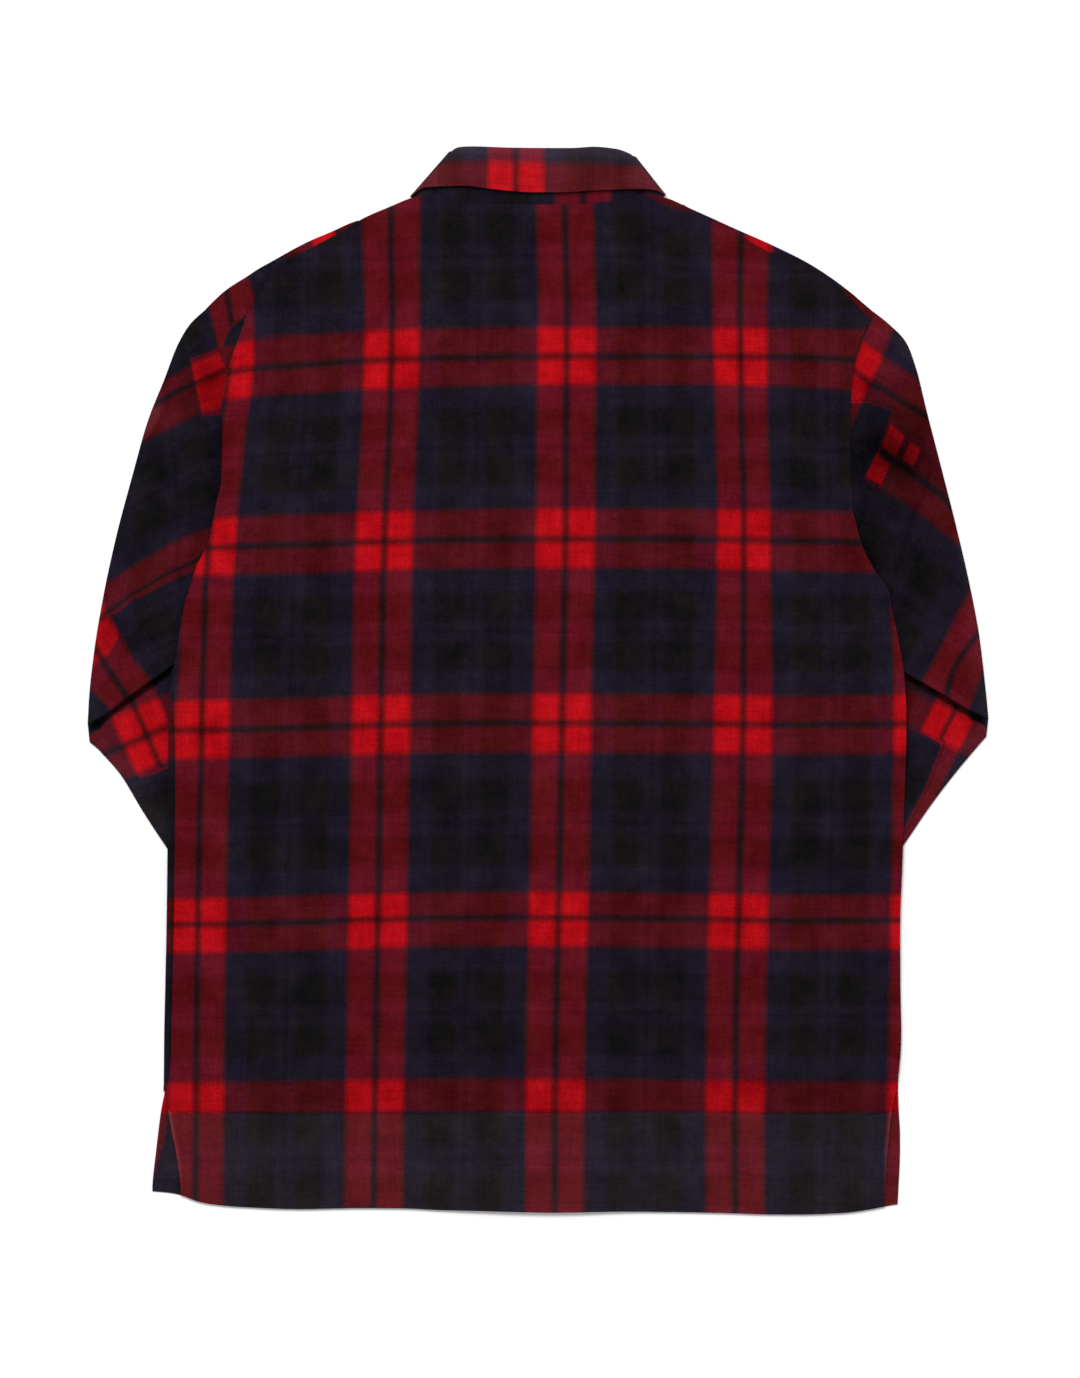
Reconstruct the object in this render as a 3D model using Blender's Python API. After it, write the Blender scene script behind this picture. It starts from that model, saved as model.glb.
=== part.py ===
"""Long-sleeved flannel shirt laid face down on a table: the back is up, the sleeves lie beside
the body, pleated at the elbows, and the forearms run in under the fronts.

Frame: +X to the wearer's right, +Y towards the collar, +Z up, origin under the middle of the
shirt on the table. All sizes here are millimetres, and make_cloth() turns them into metres.
"""

import math

import bmesh
import bpy
import numpy as np

MM = 0.001

# ---- cloth and seams ----
CLOTH = 1.0                 # one layer of brushed cotton
CUFF_CLOTH = 1.2            # two pressed layers with interlining
SEAM = 0.3                  # space between two sewn pieces
LAYER = CLOTH + SEAM        # from one layer's middle to the next one's
LOFT = 2.0                  # extra air between back and fronts, away from the seams
LOFT_RUN = 40.0             # distance from a seam over which the air builds up
LOFT_HEM = (-430.0, 120.0)  # height where the air starts at the hem, and over what distance
LOFT_TOP = (300.0, 60.0)    # height where half of it goes again towards the neck, and over what

# ---- stack at the centre front, from the table up ----
BUTTON_THICK = 2.4
PLACKET_LOW = BUTTON_THICK + SEAM
FRONT_LEFT_LOW = PLACKET_LOW + LAYER
FRONT_RIGHT_LOW = FRONT_LEFT_LOW + LAYER
OVERLAP = 18.0              # each front runs this far past the centre
CENTRE_ZONE = 20.0          # half width of the strip that lies level over the buttons
COLLAR_LOW = 2.7            # fronts and stand lie this high, over the collar's front half

# ---- sleeve tube ----
TUBE_HALF = 1.0             # from the tube's middle plane to the middle of each wall
TUBE = 2 * TUBE_HALF + CLOTH
PITCH = TUBE + SEAM         # from one folded layer of tube to the next
ELBOW_RISE = 2 * PITCH      # the upper sleeve lies over two more layers at the elbow pleat
CUFF_HALF = (TUBE - CUFF_CLOTH) / 2

# ---- how cloth comes down beside what it covers ----
CELL = 36.0                 # cloth stays at full height this far past a covered shape
FALL = 45.0                 # then comes down to the table over this distance
SLEEVE_FALL = 50.0

# ---- buttons ----
BUTTON_RADIUS = 5.5
CUFF_BUTTON_THICK = 2.0
BUTTON_SIDES = 12
FRONT_BUTTONS = 6
STAND_BUTTON = 316.0        # height up the body of the button on the stand
FIRST_BUTTON = 236.0        # and of the top button on the placket
BUTTON_PITCH = 98.0

# ---- grids ----
BODY_ROWS = 24
SHOULDER_ROWS = 7
HALF_COLUMNS = 10
PLACKET_ROWS = 6
CHEST_LEVEL = 230.0         # rows are level below this, and bend to the shoulders above it
ACROSS = 7                  # cells across a sleeve
EDGE_STEPS = 3              # cells round a tube's edge
FOLD_STEPS = 5              # cells round a folded edge

# Sides of the body, distance from the centre line at each height.
#         height   back_l   back_r  front_l  front_r
SIDES = [(-422.0, 281.0, 273.0, 304.0, 286.0),
         (-402.0, 282.0, 274.5, 304.0, 286.5),
         (-371.0, 286.0, 276.0, 300.0, 286.5),
         (-339.0, 292.0, 279.5, 296.0, 286.5),
         (-316.0, 294.0, 285.0, 294.0, 286.5),
         (-237.0, 294.0, 287.5, 294.0, 287.5),
         (-130.0, 291.5, 289.5, 291.5, 289.5),
         (-30.0, 290.0, 290.5, 290.0, 290.5),
         (5.0, 288.0, 288.7, 288.0, 288.7),
         (33.0, 281.5, 284.0, 281.5, 284.0),
         (60.0, 277.0, 278.5, 277.0, 278.5),
         (88.0, 269.0, 262.0, 269.0, 262.0),
         (110.0, 258.5, 253.2, 257.0, 253.2),
         (139.0, 254.0, 247.0, 252.0, 246.0),
         (190.0, 248.0, 245.3, 246.0, 243.5),
         (218.0, 248.5, 245.5, 245.0, 243.5),
         (242.0, 245.3, 247.5, 243.2, 246.0),
         (267.0, 237.5, 252.5, 251.0, 251.5),
         (289.0, 229.5, 262.0, 258.5, 261.0),
         (305.0, 220.8, 263.0, 259.0, 262.0)]

# Shoulders and neckline, height at each place across. The fronts' fold on the left lies
# outside the back's seam.
#              x     back    front
SHOULDERS = [(-262.0, 270.0, 288.0),
             (-243.0, 284.0, 309.0),
             (-227.0, 297.0, 320.0),
             (-221.0, 304.5, 324.0),
             (-207.0, 325.0, 332.0),
             (-180.0, 341.0, 346.2),
             (-158.0, 352.5, 355.6),
             (-137.0, 364.5, 365.0),
             (-116.5, 374.5, 374.0),
             (-99.0, 381.5, 381.0),
             (-84.0, 384.5, 380.0),
             (-60.0, 378.5, 345.0),
             (-24.0, 375.8, 305.0),
             (0.0, 375.5, 300.0),
             (24.0, 375.8, 305.0),
             (60.0, 378.5, 345.0),
             (84.0, 384.5, 380.0),
             (99.0, 382.0, 381.5),
             (120.5, 373.0, 372.5),
             (152.0, 359.0, 358.5),
             (184.0, 345.0, 344.5),
             (215.0, 329.0, 328.5),
             (247.0, 306.5, 306.0),
             (264.0, 290.5, 290.0)]

# Back hem, and the fronts' hem with it, height at each place across.
#           x      low
HEM = [(-304.0, -402.5), (-281.0, -408.0), (-260.0, -413.5), (-180.0, -417.0),
       (0.0, -420.0), (150.0, -421.5), (230.0, -421.5), (262.0, -417.0), (290.0, -413.5)]

# Left shoulder: the front folds over and ends at a seam on the back side.
#               fold_x  seam_x  seam_y
SHOULDER_SEAM = [(-262.0, -245.0, 240.0),
                 (-236.0, -227.0, 292.0),
                 (-211.0, -204.0, 326.0),
                 (-187.0, -184.0, 338.0),
                 (-163.0, -160.5, 350.5),
                 (-139.0, -137.5, 361.8)]
FLAP_RISE = 2.3             # from the front's middle up to the folded strip's middle
FLAP_COLUMNS = 6            # points along the folded strip
FLAP_INSET = 4.0            # the back rises over the strip from here on

# Armholes from the shoulder tip to the underarm, where each sleeve's top begins. The underarm
# lies just under the side of the body.
ARMHOLE = {
    -1: [(-260.3, 291.9), (-252.5, 267.4), (-245.0, 242.1), (-247.5, 218.4), (-247.8, 190.0),
         (-253.5, 139.0), (-257.5, 115.0), (-261.0, 92.0)],
    +1: [(264.3, 290.3), (256.4, 276.9), (249.5, 253.2), (245.5, 221.6), (245.3, 190.0),
         (248.0, 138.6), (251.5, 110.0), (255.5, 80.0)],
}

# Upper sleeve down to the elbow, its outer fold and its inner edge, which runs under the body.
# bend is how much of the armhole's curve the section keeps.
#                  out_x   out_y    in_x   in_y  bend
UPPER = {
    -1: [(274.5, 281.6, 264.8, 87.5, 0.80),
         (284.0, 265.8, 267.4, 83.0, 0.60),
         (295.1, 237.4, 268.9, 78.5, 0.42),
         (307.7, 205.8, 269.2, 74.0, 0.28),
         (320.3, 161.6, 268.4, 69.0, 0.15),
         (333.0, 114.2, 265.8, 63.5, 0.05),
         (343.3, 66.8, 261.2, 58.0, 0.0),
         (350.4, 24.1, 254.8, 53.0, 0.0),
         (354.4, -12.0, 246.9, 48.6, 0.0)],
    +1: [(276.9, 281.6, 258.9, 75.5, 0.80),
         (290.3, 267.4, 261.6, 71.0, 0.60),
         (298.2, 246.9, 263.4, 66.5, 0.42),
         (306.9, 212.1, 264.0, 62.0, 0.28),
         (318.0, 167.9, 263.6, 57.5, 0.15),
         (329.8, 120.5, 261.8, 53.0, 0.05),
         (340.1, 76.2, 258.6, 48.0, 0.0),
         (348.0, 35.2, 254.3, 43.0, 0.0),
         (353.5, -7.5, 248.8, 37.7, 0.0)],
}

# Elbow pleat: the lip that shows. The cloth folds back under it and forward again, further
# from the outer fold the deeper, and at the outer fold it just bends.
#              out_x   out_y    in_x   in_y
LIP = {-1: (355.6, -34.0, 245.3, 43.8), +1: (355.6, -29.5, 246.1, 33.0)}
PLEAT_ADVANCE = 15.0        # how far the pleat still runs forward at the outer fold
PLEAT_DEEPENS = 0.32        # and how much less with each millimetre inwards
PLEAT_RISE_RUN = 16.0       # the stack reaches its height this far in from the outer fold
PLEAT_REACH = 8.0           # the upper sleeve keeps that height this far beside the stack
PLEAT_TURN_RUN = 50.0       # distance over which the pleat turns from the fold's way to its own
OUTER_FOLD_WAY = (-0.1, -0.995)
SHARP_TURN = 0.5            # angle from which the rows crowd into the two turns, radians

# Forearm from the elbow to the cuff seam, then the cuff to its end.
#                  out_x   out_y    in_x    in_y
FOREARM = {
    -1: [(347.0, -54.5, 237.4, 25.7),
         (329.0, -73.9, 220.0, 3.6),
         (311.7, -103.9, 202.6, -26.5),
         (291.9, -133.9, 183.7, -58.1),
         (260.3, -177.4, 152.9, -101.5),
         (229.5, -220.8, 122.8, -145.8)],
    +1: [(348.0, -51.0, 239.8, 24.1),
         (329.8, -71.5, 221.6, 0.4),
         (313.2, -96.0, 205.0, -24.9),
         (288.7, -132.3, 182.1, -59.6),
         (259.5, -173.4, 152.9, -100.7),
         (229.5, -216.9, 122.8, -145.0)],
}
CUFF_LENGTH = 65.0

# Collar, distances up from the table's middle line.
COLLAR_STEPS = 4            # cells round the collar's folds
STAND_TOP = 417.0           # back of the stand, under the collar's fold
STAND_FRONT_TOP = 332.0     # top of the stand at the centre front
STAND_SIDE = 66.0           # half width of the stand's top
STAND_FOOT = 83.0           # half width of the stand at the neckline
STAND_OVERLAP = 16.0        # the stand's ends run this far past the centre front
STAND_OFFSET = 1.15         # from the collar's middle plane to the stand
MIDDLE = COLLAR_LOW + CLOTH / 2 + STAND_OFFSET
STAND_CURVE = 1.5           # how its top bends up from the centre front to the sides
NECK_POINT = 384.5          # height of the neck points at the shoulders
NECK_GAP = 5 * SEAM         # from the fronts' neckline to the stand
FRONT_TIP = 259.0           # shoulder tip's distance from the centre line
LEAF_FOLD = 1.35            # radius of the collar's fold, from the stand to the leaf
LEAF_GAP = 1.6              # the fold starts this far above the stand's top
LEAF_OPENING = 6.0          # the leaf starts this far from the centre front
POINT_ACROSS = 48.0         # collar points, on the fronts' side
POINT_HEIGHT = 274.0
LEAF_SIDE = 96.5            # half width of the leaf's free edge
#            x     height of the leaf's free edge at the back
LEAF_EDGE = [(-96.5, 386.0), (-89.0, 389.5), (-60.0, 390.3), (-24.0, 386.6), (18.0, 385.3),
             (46.0, 386.7), (80.0, 388.0), (92.0, 387.3), (96.5, 386.0)]


# ---------------------------------------------------------------- curves and distances

def smooth(t):
    """Rises from 0 to 1 with level ends."""
    t = np.clip(t, 0.0, 1.0)
    return t * t * (3.0 - 2.0 * t)


def curve(table, column, knots=0):
    """Smooth curve through one column of a table that never overshoots its knots."""
    rows = np.array(table, dtype=float)
    x = rows[:, knots]
    y = rows[:, column]
    slope = np.diff(y) / np.diff(x)
    turn = np.zeros(len(x))
    same_way = slope[:-1] * slope[1:] > 0
    mean = 2.0 * slope[:-1] * slope[1:] / np.where(same_way, slope[:-1] + slope[1:], 1.0)
    turn[1:-1] = np.where(same_way, mean, 0.0)
    turn[0] = slope[0]
    turn[-1] = slope[-1]

    def at(value):
        value = np.clip(value, x[0], x[-1])
        i = np.clip(np.searchsorted(x, value) - 1, 0, len(x) - 2)
        step = x[i + 1] - x[i]
        t = (value - x[i]) / step
        return (y[i] * (1 - t) ** 2 * (1 + 2 * t) + turn[i] * step * t * (1 - t) ** 2
                + y[i + 1] * t * t * (3 - 2 * t) - turn[i + 1] * step * t * t * (1 - t))
    return at


def along(points, count):
    """Points spaced evenly along an open line."""
    points = np.array(points, dtype=float)
    run = np.concatenate([[0.0], np.cumsum(np.linalg.norm(np.diff(points, axis=0), axis=1))])
    place = np.linspace(0.0, run[-1], count)
    return np.stack([np.interp(place, run, points[:, k]) for k in range(points.shape[1])], axis=1)


def distance(x, y, outline, closed=True):
    """Distance from each place to an outline, 0 inside it where it is closed."""
    corners = np.array(outline, dtype=float)
    ends = np.roll(corners, -1, axis=0) if closed else corners[1:]
    starts = corners if closed else corners[:-1]
    nearest = np.full(np.shape(x), np.inf)
    inside = np.zeros(np.shape(x), dtype=bool)
    for (ax, ay), (bx, by) in zip(starts, ends):
        length = max((bx - ax) ** 2 + (by - ay) ** 2, 1e-9)
        t = np.clip(((x - ax) * (bx - ax) + (y - ay) * (by - ay)) / length, 0.0, 1.0)
        nearest = np.minimum(nearest, np.hypot(x - ax - t * (bx - ax), y - ay - t * (by - ay)))
        crosses = (ay > y) != (by > y)
        span = np.where(crosses, by - ay, 1.0)
        inside ^= crosses & (x < (bx - ax) * (y - ay) / span + ax)
    return np.where(inside & closed, 0.0, nearest)


def cover(x, y, outline, reach=CELL, fall=FALL):
    """1 over an outline and for the reach beyond it, then down to 0."""
    return smooth(1.0 - (distance(x, y, outline) - reach) / fall)


# ---------------------------------------------------------------- shapes on the table

def mirrored(side, row):
    """A row of out_x, out_y, in_x, in_y as two points on one side of the shirt."""
    return np.array([side * row[0], row[1]]), np.array([side * row[2], row[3]])


def cuff_rows(side):
    """Outer and inner corners of the cuff at its seam and at its end."""
    before, inner_before = mirrored(side, FOREARM[side][-2])
    seam, inner_seam = mirrored(side, FOREARM[side][-1])
    ahead = (seam - before) / np.linalg.norm(seam - before)
    start = 2.0 * SEAM * ahead
    return [(seam + start + ahead * CUFF_LENGTH * f, inner_seam + start + ahead * CUFF_LENGTH * f)
            for f in (0.0, 0.33, 0.67, 1.0)]


def tucked(side):
    """Outline of what lies under one front: the forearm, the cuff and the pleat."""
    outer = [mirrored(side, row)[0] for row in FOREARM[side]]
    inner = [mirrored(side, row)[1] for row in FOREARM[side]]
    upper = [mirrored(side, row)[1] for row in UPPER[side]]
    cuff = cuff_rows(side)
    return ([ARMHOLE[side][-1]] + upper + [mirrored(side, LIP[side])[1]] + inner
            + [cuff[-1][1], cuff[-1][0]] + outer[::-1])


def lip_directions(side):
    """Start and length of the lip's line, its direction inwards, the direction square to it
    down the sleeve, and the direction of the outer fold there."""
    outer, inner = mirrored(side, LIP[side])
    length = np.linalg.norm(inner - outer)
    inwards = (inner - outer) / length
    return outer, length, inwards, np.array([inwards[1] * side, -abs(inwards[0])])


def pleat(side):
    """Outline of the threefold stack at the elbow."""
    outer, length, inwards, forward = lip_directions(side)
    depth = PLEAT_DEEPENS * length - PLEAT_ADVANCE
    begins = outer + inwards * PLEAT_ADVANCE / PLEAT_DEEPENS
    ends = outer + inwards * length
    return [begins, ends, ends - forward * depth]


def leaf_front(side):
    """Outline of the collar leaf's front half."""
    return [(side * LEAF_OPENING, STAND_FRONT_TOP + 6.0), (side * STAND_SIDE, STAND_TOP + 4.0),
            (side * LEAF_SIDE, LEAF_EDGE[0][1]), (side * POINT_ACROSS, POINT_HEIGHT)]


def cuff_button_place(side):
    """Middle of the cuff button, on the cuff's upper face."""
    outer, inner = cuff_rows(side)[1]
    return outer * 0.7 + inner * 0.3


def button_patch(side):
    x, y = cuff_button_place(side)
    return [(x - 7, y - 7), (x + 7, y - 7), (x + 7, y + 7), (x - 7, y + 7)]


# ---------------------------------------------------------------- heights of the panels

def front_low(x, y, centre_low):
    """Height of a front's underside: level on the table, and up over what it covers."""
    beside_centre = np.abs(x) - CENTRE_ZONE
    low = centre_low * smooth(1.0 - beside_centre / (CELL + FALL))
    for side in (-1, +1):
        over_sleeve = PITCH * cover(x, y, tucked(side))
        over_pleat = ELBOW_RISE * cover(x, y, pleat(side), fall=1.5 * FALL)
        over_cuff = (CUFF_HALF * 2 + CUFF_CLOTH + CUFF_BUTTON_THICK + 2 * SEAM) * cover(
            x, y, button_patch(side), reach=24.0)
        over_leaf = COLLAR_LOW * cover(x, y, leaf_front(side))
        low = np.maximum.reduce([low, over_sleeve + over_pleat, over_cuff, over_leaf])
    return low


def back_low(x, y):
    """Height of the back's underside: over both fronts, with air between them."""
    fronts = front_low(x, y, FRONT_RIGHT_LOW)
    left = distance(x, y, [(-s[1], s[0]) for s in SIDES[5:17]]
                    + [(r[0], r[1]) for r in SHOULDERS if r[0] < -90], closed=False)
    right = distance(x, y, [(s[2], s[0]) for s in SIDES[5:17]]
                     + [(r[0], r[1]) for r in SHOULDERS[::-1] if r[0] > 90], closed=False)
    air = LOFT * smooth(np.minimum(left, right) / LOFT_RUN)
    air = air * smooth((y - LOFT_HEM[0]) / LOFT_HEM[1])
    air = air * (1.0 - 0.5 * smooth((y - LOFT_TOP[0]) / LOFT_TOP[1]))
    strip = [(row[0] + FLAP_INSET, curve(SHOULDERS, 2)(row[0])) for row in SHOULDER_SEAM]
    strip += [(row[1], row[2]) for row in SHOULDER_SEAM[::-1]]
    over_strip = (FLAP_RISE + SEAM) * cover(x, y, strip)
    low = fronts + CLOTH + SEAM + np.maximum(air, over_strip)
    for side in (-1, +1):
        sleeve = [mirrored(side, row)[0] for row in UPPER[side]] + [ARMHOLE[side][-1]]
        sleeve += [p for p in ARMHOLE[side][::-1]]
        low = np.maximum(low, (TUBE + 2 * SEAM) * cover(x, y, sleeve, reach=CELL)
                         + ELBOW_RISE * cover(x, y, pleat(side), fall=1.5 * FALL))
    return low


# ---------------------------------------------------------------- meshes

def fabric(name, colour, roughness=0.9):
    """Plain cloth finish."""
    material = bpy.data.materials.new(name)
    material.use_nodes = True
    shader = material.node_tree.nodes["Principled BSDF"]
    shader.inputs["Base Color"].default_value = (*colour, 1.0)
    shader.inputs["Roughness"].default_value = roughness
    shader.inputs["Metallic"].default_value = 0.0
    return material


def grid_faces(rows, columns, first=0, closed=False, swapped=()):
    """Triangles of a grid of points numbered row by row, with the rows as rings if closed.
    The cells of the swapped columns are cut along their other diagonal."""
    faces = []
    width = columns if closed else columns - 1
    for i in range(rows - 1):
        for j in range(width):
            a = first + i * columns + j
            b = first + i * columns + (j + 1) % columns
            c = b + columns
            d = a + columns
            if j in swapped:
                faces += [(a, b, d), (b, c, d)]
            else:
                faces += [(a, b, c), (a, c, d)]
    return faces


def make_cloth(name, points, faces, material, thickness=CLOTH):
    """A sheet given by its middle surface, thickened equally to both sides."""
    mesh = bpy.data.meshes.new(name)
    mesh.from_pydata([tuple(MM * p for p in point) for point in points], [], faces)
    mesh.validate()
    sheet = bpy.data.objects.new(name, mesh)
    bpy.context.scene.collection.objects.link(sheet)
    sheet.data.materials.append(material)
    mesh.shade_smooth()
    wall = sheet.modifiers.new("wall", "SOLIDIFY")
    wall.thickness = thickness * MM
    wall.offset = 0.0
    wall.use_even_offset = True
    wall.use_rim = True
    return sheet


# ---------------------------------------------------------------- body panels

def half_grid(side, cloth, inner, columns):
    """Places of one half of a panel, row by row from the hem to the shoulder and column by
    column from the side to the line x = inner."""
    edge_column = {("back", -1): 1, ("back", +1): 2, ("front", -1): 3, ("front", +1): 4}
    edge = curve(SIDES, edge_column[(cloth, side)])
    top = curve(SHOULDERS, 1 if cloth == "back" else 2)
    hem = curve(HEM, 1)
    u = np.linspace(0.0, 1.0, columns)[None, :]
    row = np.arange(BODY_ROWS + SHOULDER_ROWS + 1)[:, None]
    lower = np.minimum(row / BODY_ROWS, 1.0)
    upper = np.maximum(row - BODY_ROWS, 0) / SHOULDER_ROWS
    y = np.linspace(-400.0, 380.0, len(row))[:, None] + 0.0 * u
    for _ in range(60):
        x = side * edge(y) * (1.0 - u) + inner * u
        y = hem(x) + (CHEST_LEVEL - hem(x)) * lower + (top(x) - CHEST_LEVEL) * upper
    return x, y


def centre_columns(places, cloth):
    """Places of straight columns near the centre line."""
    top = curve(SHOULDERS, 1 if cloth == "back" else 2)
    hem = curve(HEM, 1)
    row = np.arange(BODY_ROWS + SHOULDER_ROWS + 1)[:, None]
    x = np.array(places)[None, :] + 0.0 * row
    y = (hem(x) + (CHEST_LEVEL - hem(x)) * np.minimum(row / BODY_ROWS, 1.0)
         + (top(x) - CHEST_LEVEL) * np.maximum(row - BODY_ROWS, 0) / SHOULDER_ROWS)
    return x, y


def panel_points(x, y, z):
    return np.stack([x, y, z], axis=2).reshape(-1, 3)


def make_back(material):
    """One panel from side to side."""
    left = half_grid(-1, "back", -CENTRE_ZONE, HALF_COLUMNS + 1)
    right = half_grid(+1, "back", CENTRE_ZONE, HALF_COLUMNS + 1)
    middle = centre_columns([0.0], "back")
    x = np.hstack([left[0], middle[0], right[0][:, ::-1]])
    y = np.hstack([left[1], middle[1], right[1][:, ::-1]])
    z = back_low(x, y) + CLOTH / 2
    make_cloth("back", panel_points(x, y, z), grid_faces(*x.shape), material)


def make_front_right(material):
    half = half_grid(+1, "front", CENTRE_ZONE, HALF_COLUMNS + 1)
    centre = centre_columns([0.0, -OVERLAP], "front")
    x = np.hstack([half[0], centre[0]])[:, ::-1]
    y = np.hstack([half[1], centre[1]])[:, ::-1]
    z = front_low(x, y, FRONT_RIGHT_LOW) + CLOTH / 2
    make_cloth("front_right", panel_points(x, y, z), grid_faces(*x.shape), material)


def make_front_left(material):
    """The left front, whose shoulder folds over and comes down on the back side."""
    half = half_grid(-1, "front", -CENTRE_ZONE, HALF_COLUMNS + 1)
    centre = centre_columns([0.0, OVERLAP], "front")
    x = np.hstack([half[0], centre[0]])
    y = np.hstack([half[1], centre[1]])
    z = front_low(x, y, FRONT_LEFT_LOW) + CLOTH / 2
    rows, columns = x.shape
    points = panel_points(x, y, z)
    faces = grid_faces(rows, columns)
    count = FLAP_COLUMNS
    fold = np.stack([x[-1, :count], y[-1, :count], z[-1, :count]], axis=1)
    seam = np.stack([curve(SHOULDER_SEAM, 1)(fold[:, 0]), curve(SHOULDER_SEAM, 2)(fold[:, 0])], axis=1)
    width = seam - fold[:, :2]
    length = np.linalg.norm(width, axis=1, keepdims=True)
    inward = width / length
    radius = FLAP_RISE / 2
    strip = []
    for step in range(1, FOLD_STEPS + 1):
        angle = math.pi * step / FOLD_STEPS
        place = fold[:, :2] - inward * radius * math.sin(angle)
        strip.append(np.column_stack([place, fold[:, 2] + radius * (1 - math.cos(angle))]))
    for part in (0.5, 1.0):
        strip.append(np.column_stack([fold[:, :2] + width * part, fold[:, 2] + FLAP_RISE]))
    first = len(points)
    top_row = (rows - 1) * columns
    for j in range(count - 1):
        a, b = top_row + j, top_row + j + 1
        c, d = first + j + 1, first + j
        faces += [(a, b, c), (a, c, d)]
    faces += grid_faces(len(strip), count, first)
    make_cloth("front_left", np.vstack([points] + strip), faces, material)


def make_placket(material):
    """Buttonhole band on the outside of the left front, from the hem to the neckline."""
    x = np.tile([-OVERLAP, 0.0, OVERLAP], (PLACKET_ROWS + 1, 1))
    share = np.linspace(0.0, 1.0, PLACKET_ROWS + 1)[:, None]
    y = curve(HEM, 1)(x) * (1 - share) + (curve(SHOULDERS, 2)(0.0) - SEAM) * share
    z = 0.0 * x + PLACKET_LOW + CLOTH / 2
    make_cloth("placket", panel_points(x, y, z), grid_faces(*x.shape), material)


# ---------------------------------------------------------------- sleeves and cuffs

def make_tube(name, ribbon, normals, half, wall, material):
    """A flattened tube round a ribbon of rows. Each wall's middle lies half from the ribbon along
    its normals, and a half circle closes each edge."""
    across = ribbon[:, -1] - ribbon[:, 0]
    across = across / np.linalg.norm(across, axis=1, keepdims=True)
    angles = math.pi * np.arange(1, EDGE_STEPS) / EDGE_STEPS
    shells = []
    for radius in (half + wall / 2, half - wall / 2):
        top = ribbon + normals * radius
        low = ribbon - normals * radius
        inner = [ribbon[:, -1] + (normals[:, -1] * math.cos(a) + across * math.sin(a)) * radius
                 for a in angles]
        outer = [ribbon[:, 0] - (normals[:, 0] * math.cos(a) + across * math.sin(a)) * radius
                 for a in angles]
        shells.append(np.concatenate([top, np.stack(inner, axis=1), low[:, ::-1],
                                      np.stack(outer, axis=1)], axis=1))
    rings, around = shells[0].shape[:2]
    inside = rings * around
    under = range(around // 2, around)
    outside_faces = grid_faces(rings, around, closed=True, swapped=under)
    faces = outside_faces + [(c + inside, b + inside, a + inside) for a, b, c in outside_faces]
    for ring, turned in ((0, True), (rings - 1, False)):
        for j in range(around):
            a = ring * around + j
            b = ring * around + (j + 1) % around
            rim = (a, b, b + inside, a + inside)
            faces.append(rim[::-1] if turned else rim)
    points = np.concatenate(shells).reshape(-1, 3)
    tube = make_cloth(name, points, faces, material)
    tube.modifiers.clear()
    set_outward(tube.data)


def set_outward(mesh):
    """Turns all faces of a closed mesh outwards."""
    shape = bmesh.new()
    shape.from_mesh(mesh)
    bmesh.ops.recalc_face_normals(shape, faces=shape.faces)
    if shape.calc_volume(signed=True) < 0:
        bmesh.ops.reverse_faces(shape, faces=shape.faces)
    shape.to_mesh(mesh)
    shape.free()


def ribbon_row(outer, inner, bend=None):
    """Places across the sleeve at table level, the ends drawn in by the tube's edge."""
    f = np.linspace(0.0, 1.0, ACROSS + 1)[:, None]
    edge = TUBE / 2 / np.linalg.norm(inner - outer)
    place = outer + (inner - outer) * (edge + (1 - 2 * edge) * f)
    if bend is not None:
        place = place + bend
    return np.column_stack([place, np.full(ACROSS + 1, TUBE / 2)])


def pleat_rows(side):
    """The rows through the elbow pleat and their normals. Seen from its side the ribbon turns
    down through an angle, runs straight, and turns back, and both turns have a radius of half
    the pitch. Where the pleat laps, the angle is a half turn."""
    outer, length, inwards, forward = lip_directions(side)
    place = ribbon_row(*mirrored(side, LIP[side]))
    run = np.linalg.norm(place[:, :2] - outer, axis=1)
    fold_way = np.array([side * OUTER_FOLD_WAY[0], OUTER_FOLD_WAY[1]])
    share = smooth(run / PLEAT_TURN_RUN)[:, None]
    ahead = fold_way * (1 - share) + forward * share
    ahead = ahead / np.linalg.norm(ahead, axis=1, keepdims=True)
    radius = PITCH / 2
    drop = ELBOW_RISE * smooth((run - run[0]) / PLEAT_RISE_RUN)
    advance = PLEAT_ADVANCE - PLEAT_DEEPENS * run
    forwards = np.maximum(advance, 0.0)
    centres = np.hypot(forwards, drop - 2 * radius)
    turn = np.arctan2(drop - 2 * radius, forwards) + np.arcsin(
        np.minimum(2 * radius / np.maximum(centres, 1e-6), 1.0))
    straight = np.sqrt(np.maximum(centres ** 2 - 4 * radius ** 2, 0.0)) + np.maximum(-advance, 0.0)
    arc = radius * turn
    whole = 2 * arc + straight
    rows, normals = [], []
    steps = 2 * FOLD_STEPS + 1
    for step in range(steps + 1):
        if step <= FOLD_STEPS:
            folded = arc * step / FOLD_STEPS
        else:
            folded = arc + straight + arc * (step - FOLD_STEPS - 1) / FOLD_STEPS
        sharp = smooth(turn / SHARP_TURN)
        gone = folded * sharp + whole * step / steps * (1 - sharp)
        down = np.minimum(gone, arc) / radius
        level = np.clip(gone - arc, 0.0, straight)
        up = np.maximum(gone - arc - straight, 0.0) / radius
        heading = down - up
        s = radius * np.sin(down) + level * np.cos(turn) + radius * (np.sin(turn) - np.sin(turn - up))
        fall = (radius * (1 - np.cos(down)) + level * np.sin(turn)
                + radius * (np.cos(turn - up) - np.cos(turn)))
        row = place.copy()
        row[:, :2] += ahead * s[:, None]
        row[:, 2] += drop - fall
        rows.append(row)
        normals.append(np.column_stack([ahead * np.sin(heading)[:, None], np.cos(heading)]))
    return rows, normals


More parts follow.
